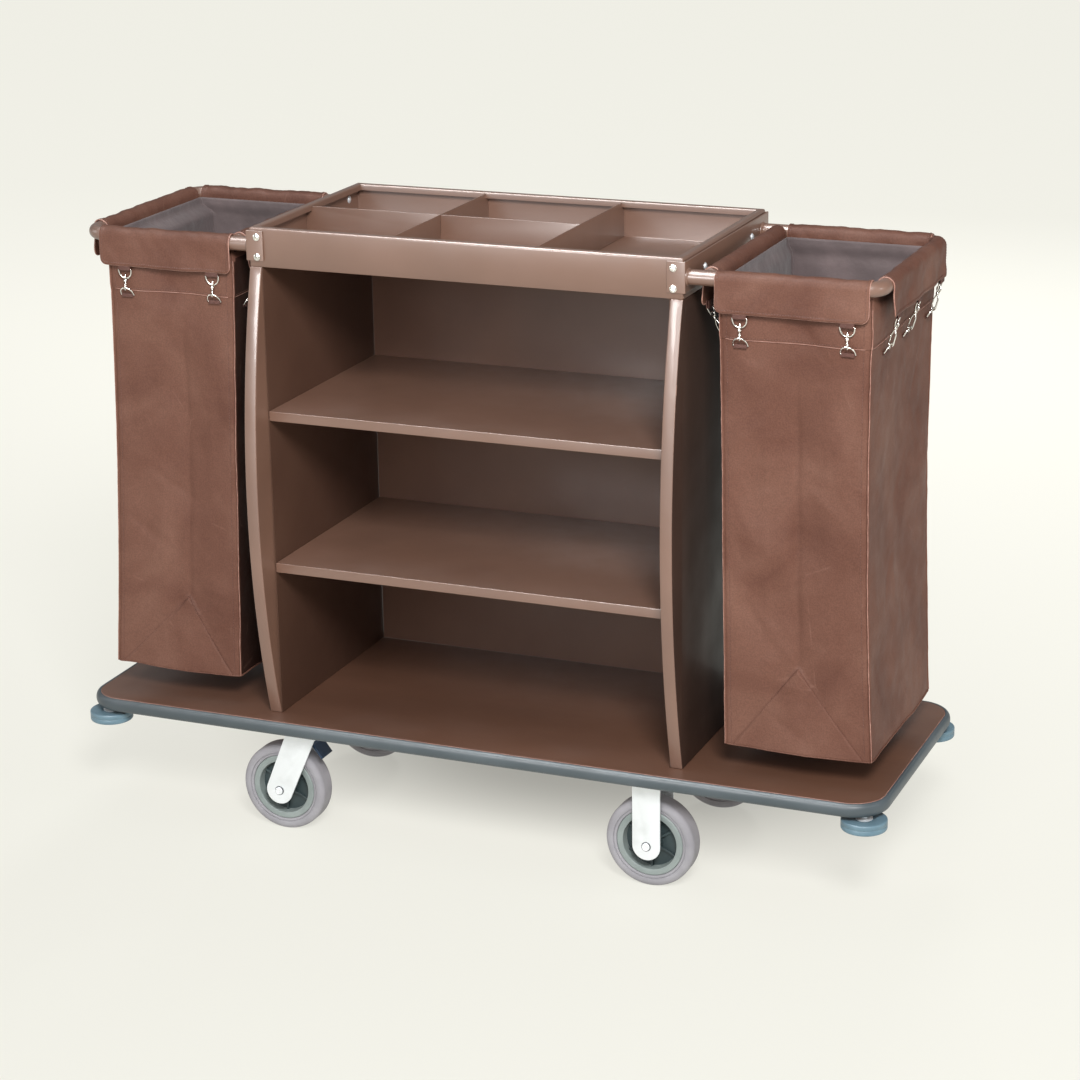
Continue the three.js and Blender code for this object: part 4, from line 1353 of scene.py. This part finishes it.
# ------------------------------------------------------------------ stage
def stage():
    far = 40
    corners = [(x * far, y * far, 0) for x, y in ((-1, -1), (1, -1), (1, 1), (-1, 1))]
    ground = place_object("floor", new_mesh("floor", (corners, [[0, 1, 2, 3]])))
    ground.data.materials.append(floor_finish())
    world = bpy.data.worlds.new("studio")
    world.use_nodes = True
    sky = world.node_tree.nodes["Background"].inputs
    sky["Color"].default_value = (1, 1, 0.985, 1)
    sky["Strength"].default_value = 0.27
    bpy.context.scene.world = world
    softbox("key_light", (2.3, -4.1, 3.9), (0.3, 0, 0.8), 1.3, 320, True)
    softbox("front_fill", (0.6, -4.4, 2.4), (0, 0, 0.8), 1.8, 66, True)
    softbox("side_light", (3.7, -0.5, 1.7), (0.6, 0, 0.6), 0.8, 16, True)
    softbox("rear_light", (-0.6, 4.4, 2.6), (0, 0, 0.6), 1.2, 80, True, False)
    softbox("fill_light", (-3.7, -1.2, 1.7), (-0.6, 0, 0.6), 1.2, 18, True)
    softbox("front_gloss", (-1.0, -3.7, 1.95), (0.2, 0, 0.9), 1.1, 112, False)
    softbox("overhead_gloss", (-0.7, -0.9, 3.4), (0.1, -0.2, 0.9), 1.5, 190, False)


def floor_finish():
    """Pale floor of even brightness, with a painted shadow under the cart where its glow is dimmed."""
    finish = Finish("floor_pale", 0.9, Specular_IOR_Level=0.0)
    finish.set("Base Color", (0.22, 0.218, 0.2, 1))
    finish.set("Emission Color", (0.871, 0.863, 0.791, 1))
    place = finish.node("SeparateXYZ", {"Vector": finish.place})
    even = finish.between(place.outputs["Y"], 0.71, 0.92, -1.5, 3.5)
    # An oval under the cart dims the glow to 0.45 at most: a painted shadow.
    oval = finish.stretched((1 / 0.8, 1 / 0.4, 1), (0, -0.7, 0))
    spot = finish.node("TexGradient", {"Vector": oval}, gradient_type="SPHERICAL")
    shade = finish.between(spot.outputs["Fac"], 1, 0.45, 0, 0.8)
    glow = finish.node("Math", {0: even, 1: shade}, operation="MULTIPLY")
    finish.links.new(glow.outputs["Value"], finish.shader.inputs["Emission Strength"])
    return finish.material


def softbox(name, position, target, size, power, lights_the_cart, shows_in_gloss=True):
    """A square panel lamp. Some show only as a soft reflection, some only as plain light."""
    light = bpy.data.lights.new(name, "AREA")
    light.shape = "SQUARE"
    light.size = size
    light.energy = power
    lamp = place_object(name, light)
    lamp.visible_diffuse = lights_the_cart
    lamp.visible_glossy = shows_in_gloss
    lamp.location = position
    lamp.rotation_euler = (Vector(target) - Vector(position)).to_track_quat("-Z", "Y").to_euler()


def camera():
    """The photograph's viewpoint: heading from +Y, tilt down and roll, then lens and place."""
    yaw, pitch, roll = radians(-22.61888), radians(17.94740), radians(-0.87284)
    ahead = Vector((sin(yaw) * cos(pitch), cos(yaw) * cos(pitch), -sin(pitch)))
    right = Vector((cos(yaw), -sin(yaw), 0))
    up = right.cross(ahead)
    tilted_right = right * cos(roll) + up * sin(roll)
    tilted_up = up * cos(roll) - right * sin(roll)
    data = bpy.data.cameras.new("camera")
    data.lens = 94.4555
    data.sensor_width = 36
    data.clip_end = 100
    eye = place_object("camera", data)
    eye.matrix_world = basis(Vector((1.86495, -4.35451, 2.05984)), tilted_right, tilted_up, -ahead)
    bpy.context.scene.camera = eye


camera()
stage()
bpy.context.scene.view_settings.view_transform = "Standard"
deck()
cabinet()
tray()
bag_carriers()
for bag_name, bag_side in SIDES.items():
    bag(bag_name, bag_side)
for cart_end in ENDS:
    fixed_castor(cart_end)
    swivel_castor(cart_end)
corner_rollers()
